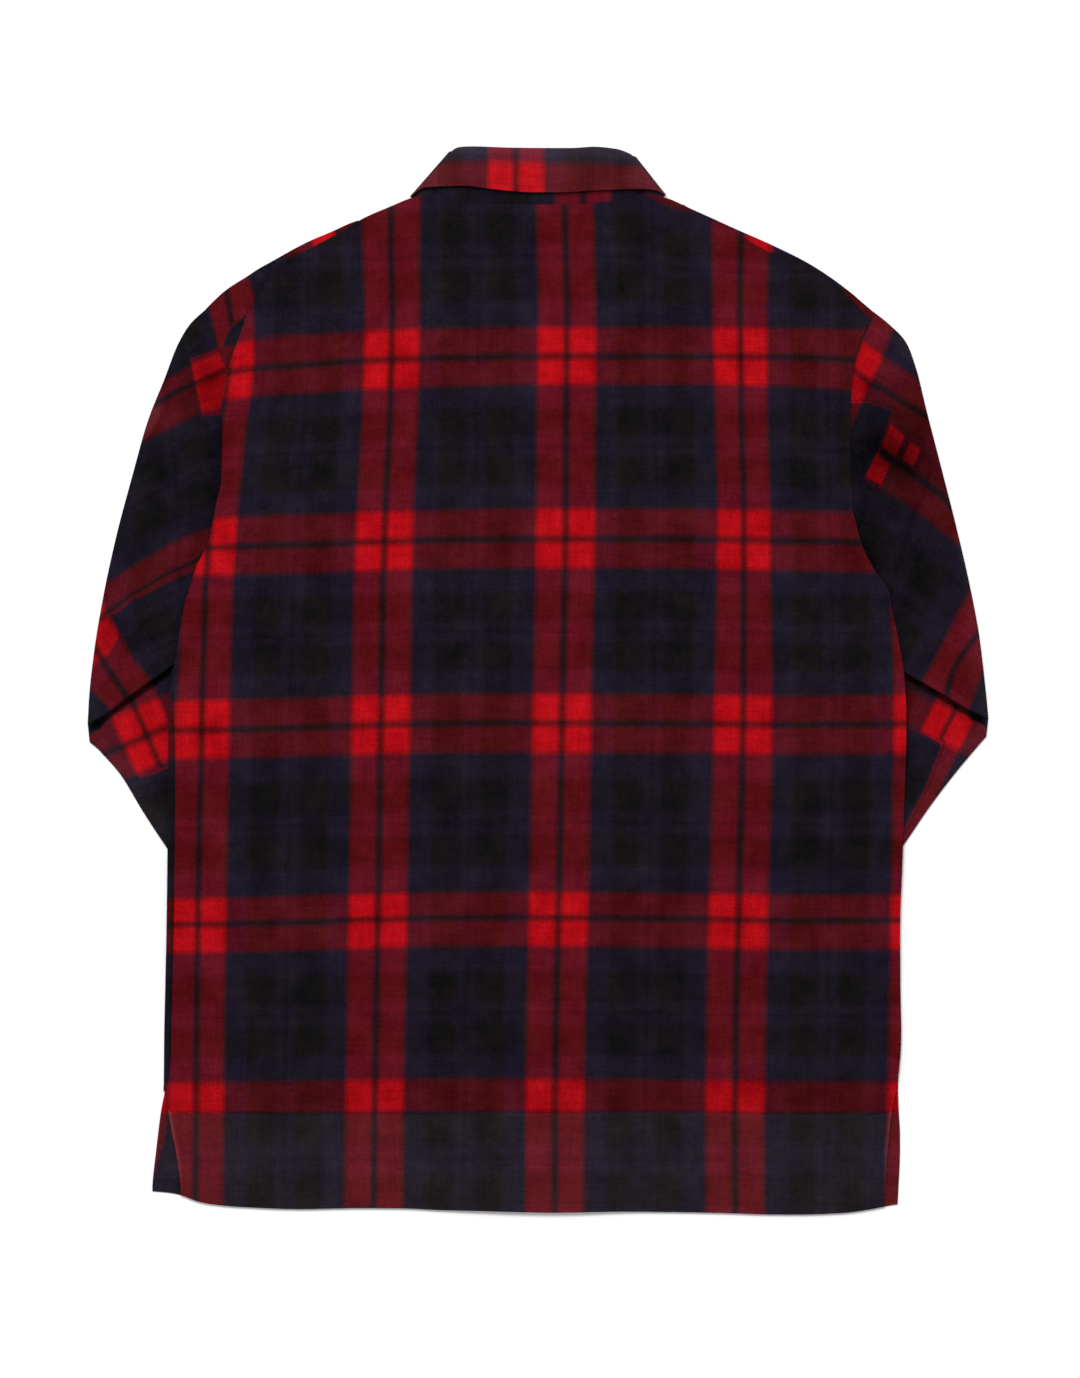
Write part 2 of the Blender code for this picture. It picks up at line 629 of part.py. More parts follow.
def sleeve_ribbon(side):
    """Middle plane of one sleeve from the armhole, over the elbow pleat, to the cuff seam."""
    armhole = along(ARMHOLE[side], ACROSS + 1)
    chord = along([ARMHOLE[side][0], ARMHOLE[side][-1]], ACROSS + 1)
    away = np.array([side * 3.0 * SEAM, 0.0])
    rows = [ribbon_row(chord[0] + away, chord[-1] + away, armhole - chord)]
    for row in UPPER[side]:
        rows.append(ribbon_row(*mirrored(side, row), (armhole - chord) * row[4]))
    for row in rows:
        lift = cover(row[:, 0], row[:, 1], pleat(side), PLEAT_REACH, SLEEVE_FALL)
        outside = np.linalg.norm(row[:, :2] - row[:1, :2], axis=1)
        row[:, 2] += ELBOW_RISE * lift * smooth(outside / PLEAT_RISE_RUN)
    up = np.tile([0.0, 0.0, 1.0], (ACROSS + 1, 1))
    folded, turned = pleat_rows(side)
    forearm = [ribbon_row(*mirrored(side, row)) for row in FOREARM[side]]
    normals = [up] * len(rows) + turned + [up] * len(forearm)
    return np.array(rows + folded + forearm), np.array(normals)


def make_sleeve(name, side, material):
    make_tube(name, *sleeve_ribbon(side), TUBE_HALF, CLOTH, material)


def make_cuff(name, side, material):
    """A stiffer band that carries on the forearm's tube."""
    rows = np.array([ribbon_row(outer, inner) for outer, inner in cuff_rows(side)])
    normals = np.zeros_like(rows) + [0.0, 0.0, 1.0]
    make_tube(name, rows, normals, CUFF_HALF, CUFF_CLOTH, material)


# ---------------------------------------------------------------- collar

def collar_path(gap):
    """Both edges of a flattened band round the neck, from the centre front round the left side,
    across the back and round the right side. Gives the foot line, the top line, the direction
    that points out of the collar, and the distance along. gap is the half opening in front."""
    neckline = curve(SHOULDERS, 2)
    back_neck = curve(SHOULDERS, 1)
    foot, top, out = [], [], []
    column = (FRONT_TIP - CENTRE_ZONE) / HALF_COLUMNS
    across = [gap, CENTRE_ZONE, CENTRE_ZONE + column, CENTRE_ZONE + 2 * column, STAND_FOOT]
    for side in (-1, +1):
        half = []
        for foot_x in across:
            top_x = gap + (STAND_SIDE - gap) * (foot_x - gap) / (STAND_FOOT - gap)
            rise = (top_x / STAND_SIDE) ** STAND_CURVE
            height = STAND_FRONT_TOP + (STAND_TOP - STAND_FRONT_TOP) * rise
            foot_y = float(neckline(side * foot_x)) + NECK_GAP
            if foot_x == STAND_FOOT:
                foot_y = NECK_POINT + 3 * SEAM
            half.append(((side * foot_x, foot_y), (side * top_x, height), (0.0, 0.0, -1.0)))
        for step in range(1, COLLAR_STEPS):
            angle = math.pi * step / COLLAR_STEPS
            half.append(((side * STAND_FOOT, NECK_POINT + 3 * SEAM), (side * STAND_SIDE, STAND_TOP),
                         (0.8 * side * math.sin(angle), 0.6 * math.sin(angle), -math.cos(angle))))
        if side < 0:
            for f in np.linspace(0.0, 1.0, 9):
                foot_x = STAND_FOOT * (2 * f - 1)
                half.append(((foot_x, float(back_neck(foot_x)) + 3 * SEAM),
                             (STAND_SIDE * (2 * f - 1), STAND_TOP), (0.0, 0.0, 1.0)))
            ordered = half
        else:
            ordered = half[::-1]
        for f, t, n in ordered:
            foot.append(f)
            top.append(t)
            out.append(n)
    return np.array(foot), np.array(top), np.array(out)


def make_stand(material):
    """Band round the neck. Its left end lies under its right end at the centre front."""
    foot, top, out = collar_path(0.0)
    foot_y = float(curve(SHOULDERS, 2)(STAND_OVERLAP)) + NECK_GAP
    top_y = STAND_FRONT_TOP + 1.0
    foot = np.vstack([[STAND_OVERLAP, foot_y], foot, [-STAND_OVERLAP, foot_y]])
    top = np.vstack([[STAND_OVERLAP, top_y], top, [-STAND_OVERLAP, top_y]])
    out = np.vstack([out[:1], out, out[-1:]])
    rows = []
    for f in (0.0, 0.5, 1.0):
        place = foot + (top - foot) * f
        inner_end = np.zeros(len(place))
        right = np.arange(len(place)) > len(place) // 2
        inner_end[right] = LAYER * smooth(1.0 - (place[right, 0] - CENTRE_ZONE) / 24.0)
        front = out[:, 2] < -0.99
        z = MIDDLE + STAND_OFFSET * out[:, 2] + np.where(front, inner_end, 0.0)
        rows.append(np.column_stack([place + STAND_OFFSET * out[:, :2], z]))
    points = np.array(rows).reshape(-1, 3)
    make_cloth("collar_stand", points, grid_faces(3, len(foot)), material)


def make_leaf(material):
    """Collar leaf: it rises from the stand's top, folds outwards and comes down to its edge."""
    foot, top, out = collar_path(LEAF_OPENING)
    count = len(top)
    edge = np.zeros_like(top)
    back_edge = curve(LEAF_EDGE, 1)
    front_span = STAND_SIDE - LEAF_OPENING
    for i in range(count):
        side = -1 if i < count // 2 else 1
        if out[i, 2] > 0.99:
            edge[i, 0] = top[i, 0] * LEAF_SIDE / STAND_SIDE
            edge[i, 1] = back_edge(edge[i, 0])
        elif out[i, 2] < -0.99:
            f = (abs(top[i, 0]) - LEAF_OPENING) / front_span
            edge[i] = (side * (POINT_ACROSS + (LEAF_SIDE - POINT_ACROSS) * f),
                       POINT_HEIGHT + (LEAF_EDGE[0][1] - POINT_HEIGHT) * f)
        else:
            edge[i] = (side * LEAF_SIDE, LEAF_EDGE[0][1])
    radius = LEAF_FOLD
    down = edge - top
    down = down / np.linalg.norm(down, axis=1, keepdims=True)
    centre = top - down * LEAF_GAP
    rows = []
    for step in range(COLLAR_STEPS + 1):
        angle = math.pi * step / COLLAR_STEPS
        offset = STAND_OFFSET + radius * (1 - math.cos(angle))
        place = centre - down * radius * math.sin(angle) + out[:, :2] * offset
        rows.append(np.column_stack([place, MIDDLE + out[:, 2] * offset]))
    offset = STAND_OFFSET + 2 * radius
    for f in (0.5, 1.0):
        place = centre + (edge - centre) * f + out[:, :2] * offset
        rows.append(np.column_stack([place, MIDDLE + out[:, 2] * offset]))
    points = np.array(rows).reshape(-1, 3)
    make_cloth("collar_leaf", points, grid_faces(len(rows), count), material)


# ---------------------------------------------------------------- buttons

def make_button(name, x, y, low, thickness, material):
    """A turned disc with a raised rim on its outer face."""
    rim = 0.78 * BUTTON_RADIUS
    bevel = 0.35
    profile = [(0.0, 0.5 * bevel), (rim, 0.5 * bevel), (rim, 0.0), (BUTTON_RADIUS - bevel, 0.0),
               (BUTTON_RADIUS, bevel), (BUTTON_RADIUS, thickness - bevel),
               (BUTTON_RADIUS - bevel, thickness), (0.0, thickness)]
    points = [(x, y, low + profile[0][1])]
    for radius, height in profile[1:-1]:
        for k in range(BUTTON_SIDES):
            angle = 2 * math.pi * k / BUTTON_SIDES
            points.append((x + radius * math.cos(angle), y + radius * math.sin(angle), low + height))
    points.append((x, y, low + thickness))
    last = len(points) - 1
    rings = len(profile) - 2
    faces = []
    for k in range(BUTTON_SIDES):
        after = (k + 1) % BUTTON_SIDES
        faces.append((0, 1 + after, 1 + k))
        for ring in range(rings - 1):
            a = 1 + ring * BUTTON_SIDES
            b = a + BUTTON_SIDES
            faces.append((a + k, a + after, b + after, b + k))
        end = 1 + (rings - 1) * BUTTON_SIDES
        faces.append((end + k, end + after, last))
    mesh = bpy.data.meshes.new(name)
    mesh.from_pydata([tuple(MM * p for p in point) for point in points], [], faces)
    mesh.validate()
    button = bpy.data.objects.new(name, mesh)
    bpy.context.scene.collection.objects.link(button)
    button.data.materials.append(material)


def make_buttons(material):
    make_button("button_stand", 0.0, STAND_BUTTON, 0.0, BUTTON_THICK, material)
    for k in range(FRONT_BUTTONS):
        make_button(f"button_front_{k + 1}", 0.0, FIRST_BUTTON - k * BUTTON_PITCH, 0.0, BUTTON_THICK,
                    material)
    for side, name in ((-1, "button_cuff_left"), (+1, "button_cuff_right")):
        x, y = cuff_button_place(side)
        make_button(name, x, y, 2 * CUFF_HALF + CUFF_CLOTH + SEAM, CUFF_BUTTON_THICK, material)


def main():
    for item in list(bpy.data.objects):
        bpy.data.objects.remove(item, do_unlink=True)
    navy = (0.012, 0.010, 0.018)
    wine = (0.10, 0.007, 0.012)
    make_back(fabric("back_cloth", navy))
    make_front_left(fabric("front_left_cloth", wine))
    make_front_right(fabric("front_right_cloth", wine))
    make_placket(fabric("placket_cloth", navy))
    for side, word in ((-1, "left"), (+1, "right")):
        make_sleeve(f"sleeve_{word}", side, fabric(f"sleeve_{word}_cloth", navy))
        make_cuff(f"cuff_{word}", side, fabric(f"cuff_{word}_cloth", wine))
    make_stand(fabric("collar_stand_cloth", navy))
    make_leaf(fabric("collar_leaf_cloth", wine))
    make_buttons(fabric("button_resin", (0.02, 0.02, 0.025), 0.35))


if __name__ == "__main__":
    main()
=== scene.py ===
"""Long-sleeved flannel shirt laid face down on a table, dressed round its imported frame.

Frame: +X to the wearer's right, +Y towards the collar, +Z up, origin under the middle of the
shirt on the table. Shapes are worked out in millimetres, and make_mesh() turns them into metres.
"""

import math

import bpy
import numpy as np
from bpy.props import FloatProperty, FloatVectorProperty, PointerProperty
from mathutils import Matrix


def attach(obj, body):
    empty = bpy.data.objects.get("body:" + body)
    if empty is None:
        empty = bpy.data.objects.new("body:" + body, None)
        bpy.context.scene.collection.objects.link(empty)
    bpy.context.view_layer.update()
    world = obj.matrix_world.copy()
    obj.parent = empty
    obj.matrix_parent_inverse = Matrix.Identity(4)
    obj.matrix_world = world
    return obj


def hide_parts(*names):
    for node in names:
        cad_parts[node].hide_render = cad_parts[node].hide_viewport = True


bl_info = {
    "name": "Flannel shirt, laid face down",
    "version": (1, 0, 0),
    "blender": (4, 5, 0),
    "location": "3D View > Sidebar > Shirt",
    "description": "Makes the cut and sewn pieces of a checked flannel shirt that lies face down",
    "category": "Object",
}

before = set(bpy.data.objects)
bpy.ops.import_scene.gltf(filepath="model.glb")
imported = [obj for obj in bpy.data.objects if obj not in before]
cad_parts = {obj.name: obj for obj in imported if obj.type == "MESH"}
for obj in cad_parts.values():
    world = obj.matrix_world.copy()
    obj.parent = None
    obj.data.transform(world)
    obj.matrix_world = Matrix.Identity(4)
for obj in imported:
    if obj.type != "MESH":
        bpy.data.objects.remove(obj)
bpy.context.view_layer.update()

MM = 0.001
WORD = {-1: "left", +1: "right"}    # the wearer's sides, -X and +X
UP, DOWN = (0.0, 0.0, 1.0), (0.0, 0.0, -1.0)

# ---- cloth and seams ----
CLOTH = 1.0                 # one layer of brushed cotton
CUFF_CLOTH = 1.2            # two pressed layers with interlining
HEM_CLOTH = 1.6             # the hem, turned up and sewn
SEAM = 0.3                  # space between two sewn pieces
LAYER = CLOTH + SEAM        # from one layer's middle to the next one's
LOFT = 2.0                  # extra air between back and fronts, away from the seams
LOFT_RUN = 40.0             # distance from a seam over which the air builds up
LOFT_HEM = (-430.0, 120.0)  # height where the air starts at the hem, and over what distance
LOFT_TOP = (300.0, 60.0)    # height where half of it goes again towards the neck, and over what
SEWN_SIDES = (-240.0, 250.0)  # heights between which back and fronts are sewn at the sides
SEWN_SHOULDERS = 90.0       # and how far out they are sewn at the shoulders

# ---- stack at the centre front, from the table up ----
BUTTON_THICK = 2.4
PLACKET_LOW = BUTTON_THICK + SEAM
FRONT_LEFT_LOW = PLACKET_LOW + LAYER
FRONT_RIGHT_LOW = FRONT_LEFT_LOW + LAYER
OVERLAP = 18.0              # each front runs this far past the centre
SINKS_FROM = -290.0         # the centre comes down below here, after the last button
SINKS_OVER = 100.0
CENTRE_ZONE = 20.0          # half width of the strip that lies level over the buttons
COLLAR_LOW = 2.7            # fronts and stand lie this high, over the collar's front half

# ---- sleeve tube ----
TUBE_HALF = 1.0             # from the tube's middle plane to the middle of each wall
TUBE = 2 * TUBE_HALF + CLOTH
PITCH = TUBE + SEAM         # from one folded layer of tube to the next
ELBOW_RISE = 2 * PITCH      # the upper sleeve lies over two more layers at the elbow pleat
CUFF_HALF = (TUBE - CUFF_CLOTH) / 2

# ---- how cloth comes down beside what it covers ----
CELL = 36.0                 # cloth stays at full height this far past a covered shape
FALL = 45.0                 # then comes down to the table over this distance
SLEEVE_FALL = 50.0          # the upper sleeve comes down over this beside the pleat's stack
PLEAT_FALL = 67.5           # and the body over this
BUTTON_REACH = 24.0         # cloth stays at full height this far past a cuff button
EDGE_REACH = 8.0            # and this far past a turned edge, which is lower
EDGE_FALL = 30.0            # then comes down from it over this distance

# ---- buttons ----
BUTTON_RADIUS = 5.5
BUTTON_BEVEL = 0.45         # the dish starts twice this far in from the side, and lies this low
BUTTON_SIDES = 56
HOLE_PLACE = 1.3            # from a button's middle to each hole's
HOLE_SIZE = 0.42            # a hole's radius squared
HOLE_DEPTH = 0.9
CUFF_BUTTON_THICK = 2.0
FRONT_BUTTONS = 6
STAND_BUTTON = 316.0        # height up the body of the button on the stand
FIRST_BUTTON = 236.0        # and of the top button on the placket
BUTTON_PITCH = 98.0
BUTTON_PATCH = 7.0          # half side of the square that a cuff button lifts

# ---- stitching: how far in from each edge it lies ----
NECK_SEAM = 2.2
LEFT_SHOULDER_SEAM = 6.5
RIGHT_SHOULDER_SEAM = 3.0
ARMHOLE_SEAM = 2.6
LEAF_SEAM = 5.0
PLACKET_SEAM = 12.0         # out from its middle, on both sides
CUFF_SEAM_ROWS = (2, -3)    # numbers of a cuff's rows
THREAD_ACROSS = 0.92        # a button's two threads: half the distance between them
THREAD_HALF = 1.1           # and half their length
THREAD_SUNK = 0.38          # they lie this low in the dish

# ---- stage ----
FLOOR_LEVEL = -0.3          # just under the shirt
LAMP_PLACE = (-0.3, 1.1, 3.0)   # in metres, like the lamp's size and the middle of the view
LAMP_SIZE = 1.2
VIEW_MIDDLE = (0.00158, -0.0067)
SENSOR = 36.0               # height of the camera's sensor

# ---- grids ----
BODY_ROWS = 150             # rows below the chest
SHOULDER_ROWS = 50          # rows above it
BACK_COLUMNS = 84           # columns of each half of the back
FRONT_COLUMNS = 84
FRONT_CROWD = 1.3           # its columns crowd towards the side by this power
CHEST_LEVEL = 230.0         # rows are level below this, and bend to the shoulders above it
GRID_PASSES = 60            # passes in which a panel's places settle between its edges
GRID_START = (-400.0, 380.0)  # and the heights of hem and neck that they start from
ACROSS = 60                 # cells across a sleeve
UPPER_ROWS = 140            # rows from the armhole to the elbow
FOREARM_ROWS = 56
LEAD_ROWS = 14              # rows from under the elbow's lip to the forearm
EDGE_STEPS = 6              # cells round a tube's edge
FOLD_STEPS = 9              # cells round a folded edge

# Sides of the body, distance from the centre line at each height.
#         height   back_l   back_r  front_l  front_r
SIDES = [(-422.0, 281.0, 273.0, 304.8, 283.6),
         (-402.0, 282.0, 274.5, 304.6, 284.6),
         (-371.0, 286.0, 276.0, 301.6, 285.9),
         (-359.0, 288.6, 277.2, 300.2, 285.9),
         (-339.0, 292.0, 279.5, 297.6, 284.9),
         (-320.0, 294.0, 283.6, 294.4, 284.4),
         (-280.0, 294.0, 286.7, 294.0, 286.7),
         (-237.0, 293.0, 286.0, 293.0, 286.0),
         (-200.0, 292.1, 285.8, 292.1, 285.8),
         (-130.0, 291.2, 288.1, 291.2, 288.1),
         (-30.0, 290.0, 290.5, 290.0, 290.5),
         (5.0, 288.0, 288.7, 288.0, 288.7),
         (33.0, 283.2, 284.0, 283.2, 284.0),
         (60.0, 278.6, 278.5, 278.6, 278.5),
         (71.0, 275.0, 276.6, 275.0, 276.6),
         (88.0, 269.0, 263.5, 269.0, 263.5),
         (110.0, 258.5, 253.2, 257.0, 253.2),
         (139.0, 252.6, 247.0, 251.0, 246.0),
         (158.0, 248.8, 246.2, 247.6, 245.0),
         (190.0, 248.0, 245.3, 246.0, 243.5),
         (218.0, 248.5, 245.5, 245.0, 243.5),
         (242.0, 244.6, 247.5, 243.2, 246.0),
         (267.0, 236.2, 252.5, 251.4, 252.2),
         (277.0, 232.6, 257.6, 254.5, 256.0),
         (289.0, 228.4, 264.4, 258.4, 264.2),
         (305.0, 220.8, 266.6, 261.5, 266.2)]

# Shoulders and neckline, height at each place across. The fronts' fold on the left lies
# outside the back's seam.
#              x     back    front
SHOULDERS = [(-262.0, 270.0, 288.0),
             (-243.0, 284.0, 308.0),
             (-227.0, 297.0, 319.0),
             (-221.0, 304.5, 323.1),
             (-207.0, 325.0, 331.2),
             (-180.0, 341.0, 345.5),
             (-158.0, 352.5, 355.0),
             (-137.0, 365.1, 365.0),
             (-116.5, 374.0, 373.5),
             (-99.0, 381.0, 380.5),
             (-84.0, 384.5, 380.0),
             (-60.0, 378.5, 345.0),
             (-24.0, 375.8, 305.0),
             (0.0, 375.5, 300.0),
             (24.0, 375.8, 305.0),
             (60.0, 378.5, 345.0),
             (84.0, 384.5, 380.0),
             (99.0, 381.6, 381.1),
             (120.5, 372.5, 372.0),
             (152.0, 358.4, 357.9),
             (184.0, 344.3, 343.8),
             (215.0, 328.6, 328.1),
             (247.0, 306.2, 305.7),
             (264.0, 290.4, 289.9)]

# Back hem, and the fronts' hem with it, height at each place across.
#           x      low
HEM = [(-304.0, -403.4), (-290.0, -404.8), (-281.0, -406.7), (-268.0, -411.5), (-255.0, -413.9),
       (-235.0, -415.6), (-187.6, -417.4), (-140.0, -416.6), (-108.0, -416.8), (-77.0, -418.1),
       (-45.0, -418.8), (-13.8, -419.6), (9.9, -420.1), (33.6, -419.8), (65.0, -419.3),
       (112.0, -419.8), (144.0, -420.4), (184.0, -421.6), (207.0, -421.7), (239.0, -420.6),
       (255.0, -418.8), (270.6, -416.0), (290.0, -412.6)]
HEM_DEPTH = 9.5             # the back's hem is turned up this far
HEM_SEAM = 8.2              # its stitching lies this far up, in a shallow groove
HEM_PUCKER = 5.5            # and its puckers are highest here

# Left shoulder: the front folds over and ends at a seam on the back side.
#               fold_x  seam_x  seam_y
SHOULDER_SEAM = [(-262.0, -245.0, 240.0),
                 (-236.0, -227.0, 292.0),
                 (-211.0, -204.0, 326.0),
                 (-187.0, -184.0, 338.0),
                 (-163.0, -160.5, 350.5),
                 (-139.0, -137.5, 361.8)]
FLAP_RISE = 2.3             # from the front's middle up to the folded strip's middle
FLAP_END = -137.5           # the strip runs out here
FLAP_INSET = 4.0            # the back rises over the strip from here on
FLAP_TUCK = 3.0             # seam allowance that lies on under the back
STRIP_LAP = 2.4             # the strip's outer end laps this far over the start of the sleeve
STRIP_LIFT = 0.85           # and lies this much higher there

# The strip's lower corner is a crease, and behind it the cloth lies on its own grain.
CREASE = [(243.7, -246.1), (265.0, -249.2), (278.5, -242.9), (290.3, -229.5)]

# Right shoulder: width of the front's folded edge on the back side, at each place across.
RIGHT_STRIP = [(112.0, 0.1), (124.0, 0.4), (137.0, 2.2), (158.0, 2.4), (166.0, 4.6),
               (184.0, 6.2), (192.0, 3.2), (212.0, 2.8), (236.0, 3.6), (246.0, 5.2),
               (262.0, 6.0), (266.0, 6.0)]
STRIP_RISE = 1.6            # from the front's middle up to that edge's middle
STRIP_INWARD = (-0.45, -0.893)

# Left side: the front's edge rolls over onto the back's side between these heights.
ROLL = [(-326.0, 0.3), (-312.0, 3.0), (-290.0, 4.6), (-200.0, 5.0), (-60.0, 4.6),
        (-20.0, 2.6), (10.0, 0.3)]
ROLL_RISE = 1.5
EDGE_TUCK = 1.5             # a turned edge's cloth runs on this far under the back

# Armholes from the shoulder tip to the underarm, where each sleeve's top begins. The underarm
# lies just under the side of the body.
ARMHOLE = {
    -1: [(-262.4, 293.6), (-252.5, 267.4), (-245.0, 242.1), (-247.5, 218.4), (-247.8, 190.0),
         (-247.6, 158.0), (-251.6, 139.0), (-257.5, 115.0), (-261.0, 92.0)],
    +1: [(265.0, 291.6), (256.4, 276.9), (249.5, 253.2), (245.5, 221.6), (245.3, 190.0),
         (248.0, 138.6), (251.5, 110.0), (255.5, 80.0)],
}
ARMHOLE_LAP = 1.3           # the back's edge laps this far over the start of each sleeve

# Upper sleeve down to the elbow, its outer fold and its inner edge, which runs under the body.
# bend is how much of the armhole's curve the section keeps.
#                  out_x   out_y    in_x   in_y  bend
UPPER = {
    -1: [(274.5, 281.6, 264.8, 87.5, 0.80),
         (284.0, 265.8, 267.4, 83.0, 0.60),
         (295.1, 237.4, 268.9, 78.5, 0.42),
         (307.7, 205.8, 269.2, 74.0, 0.28),
         (320.3, 161.6, 268.4, 69.0, 0.15),
         (333.0, 114.2, 265.8, 63.5, 0.05),
         (343.3, 66.8, 261.2, 58.0, 0.0),
         (350.4, 24.1, 254.8, 53.0, 0.0),
         (354.4, -12.0, 246.9, 48.6, 0.0)],
    +1: [(276.9, 281.6, 258.9, 75.5, 0.80),
         (290.3, 267.4, 261.6, 71.0, 0.60),
         (298.2, 246.9, 263.4, 66.5, 0.42),
         (306.9, 212.1, 264.0, 62.0, 0.28),
         (318.4, 167.9, 263.6, 57.5, 0.15),
         (330.5, 120.5, 261.8, 53.0, 0.05),
         (340.8, 76.2, 258.6, 48.0, 0.0),
         (348.5, 35.2, 254.3, 43.0, 0.0),
         (353.5, -7.5, 248.8, 37.7, 0.0)],
}

# Elbow pleat: the lip that shows. The cloth folds back under it and forward again, further
# from the outer fold the deeper, and at the outer fold it just bends.
#              out_x   out_y    in_x   in_y
LIP = {-1: (355.6, -34.0, 245.3, 43.8), +1: (355.6, -29.5, 246.1, 33.0)}
PLEAT_ADVANCE = 15.0        # how far the pleat still runs forward at the outer fold
PLEAT_DEEPENS = 0.32        # and how much less with each millimetre inwards
PLEAT_RISE_RUN = 16.0       # the stack reaches its height this far in from the outer fold
PLEAT_REACH = 8.0           # the upper sleeve keeps that height this far beside the stack
PLEAT_TURN_RUN = 50.0       # distance over which the pleat turns from the fold's way to its own
OUTER_FOLD_WAY = (-0.1, -0.995)
SHARP_TURN = 0.5            # angle from which the rows crowd into the two turns, radians
RIDGE = 2.6                 # the forearm's cloth bulges this much below the lip
RIDGE_PLACE = 9.0           # at this distance from it
RIDGE_NEAR = 3.0            # how fast the bulge rises from the lip
RIDGE_FAR = 11.0            # and how slowly it goes down again
LIP_EDGE = 0.6              # the lip's round edge lies this far past its line
LIP_SHADE = 7.0             # width of the painted shadow on the cloth under it
LIP_DARK = 0.88             # and how much darker that painted shadow makes the cloth
LIP_NEAR = 1.7              # rows of the table above it over which the sleeve rises to it

# Forearm from the elbow to the cuff seam, then the cuff to its end.
#                  out_x   out_y    in_x    in_y
FOREARM = {
    -1: [(347.0, -54.5, 237.4, 25.7),
         (330.0, -73.9, 220.0, 3.6),
         (311.7, -103.9, 202.6, -26.5),
         (291.9, -133.9, 183.7, -58.1),
         (260.3, -177.4, 152.9, -101.5),
         (229.5, -220.8, 122.8, -145.8)],
    +1: [(348.0, -51.0, 239.8, 24.1),
         (330.8, -71.5, 221.6, 0.4),
         (312.0, -96.0, 205.0, -24.9),
         (287.2, -132.3, 182.1, -59.6),
         (259.5, -173.4, 152.9, -100.7),
         (229.5, -216.9, 122.8, -145.0)],
}
CUFF_LENGTH = 65.0
CUFF_WIDTH = 158.0          # along its check
CUFF_STEPS = 30
CUFF_SEAMS = (0.93, 0.06)   # shares of its length where it is sewn, and thinner

# Collar, distances up from the table's middle line.
COLLAR_STEPS = 10           # cells round the collar's folds
COLLAR_FRONT = 26           # cells along each half of its front
COLLAR_BACK = 72            # cells along its back
STAND_TOP = 417.0           # back of the stand, under the collar's fold
STAND_FRONT_TOP = 332.0     # top of the stand at the centre front
STAND_SIDE = 66.0           # half width of the stand's top
STAND_FOOT = 83.0           # half width of the stand at the neckline
STAND_OVERLAP = 16.0        # the stand's ends run this far past the centre front
STAND_OFFSET = 1.15         # from the collar's middle plane to the stand
MIDDLE = COLLAR_LOW + CLOTH / 2 + STAND_OFFSET
STAND_CURVE = 1.5           # how its top bends up from the centre front to the sides
NECK_POINT = 384.5          # height of the neck points at the shoulders
NECK_GAP = 5 * SEAM         # from the fronts' neckline to the stand
LEAF_FOLD = 1.35            # radius of the collar's fold, from the stand to the leaf
LEAF_OPENING = 6.0          # the leaf starts this far from the centre front
LEAF_LIFT = 1.2             # its free edge at the back stands up this much
POINT_ACROSS = 48.0         # collar points, on the fronts' side
POINT_HEIGHT = 274.0
LEAF_SIDE = 96.5            # half width of the leaf's free edge in front
# Back of the leaf, from the left side to the right: its fold, then its free edge.
LEAF_CREST = [(-67.5, 417.6), (-64.2, 420.2), (-60.0, 421.1), (-52.5, 421.4), (-17.0, 420.4),
              (25.7, 420.2), (43.8, 421.2), (60.5, 419.6), (72.3, 415.5), (74.5, 413.8)]
LEAF_EDGE = [(-99.8, 381.8), (-94.4, 386.7), (-88.9, 389.1), (-59.2, 390.3), (-40.7, 388.3),
             (-24.1, 386.4), (-2.8, 385.1), (18.6, 385.1), (46.2, 386.7), (80.2, 387.8),
             (94.4, 386.4), (99.7, 383.2)]

# ---- the check ----
WARP_REPEAT = 141.4         # one repeat of the check across the cloth
WEFT_REPEAT = 145.4         # and along it
# Half a repeat from the middle of the red stripe: distance out of 89.5, redness, navy.
SETT = [(0.0, 0.11, 0.0), (1.1, 0.13, 0.0), (6.0, 1.0, 0.0), (24.2, 1.0, 0.0),
        (30.8, 0.0, 1.0), (47.5, 0.0, 1.0), (54.5, 0.0, 0.0), (76.0, 0.0, 0.0),
        (82.5, 0.0, 0.78), (86.5, 0.0, 0.78), (88.0, 0.0, 0.3), (89.5, 0.0, 0.25)]
SETT_HALF = 89.5

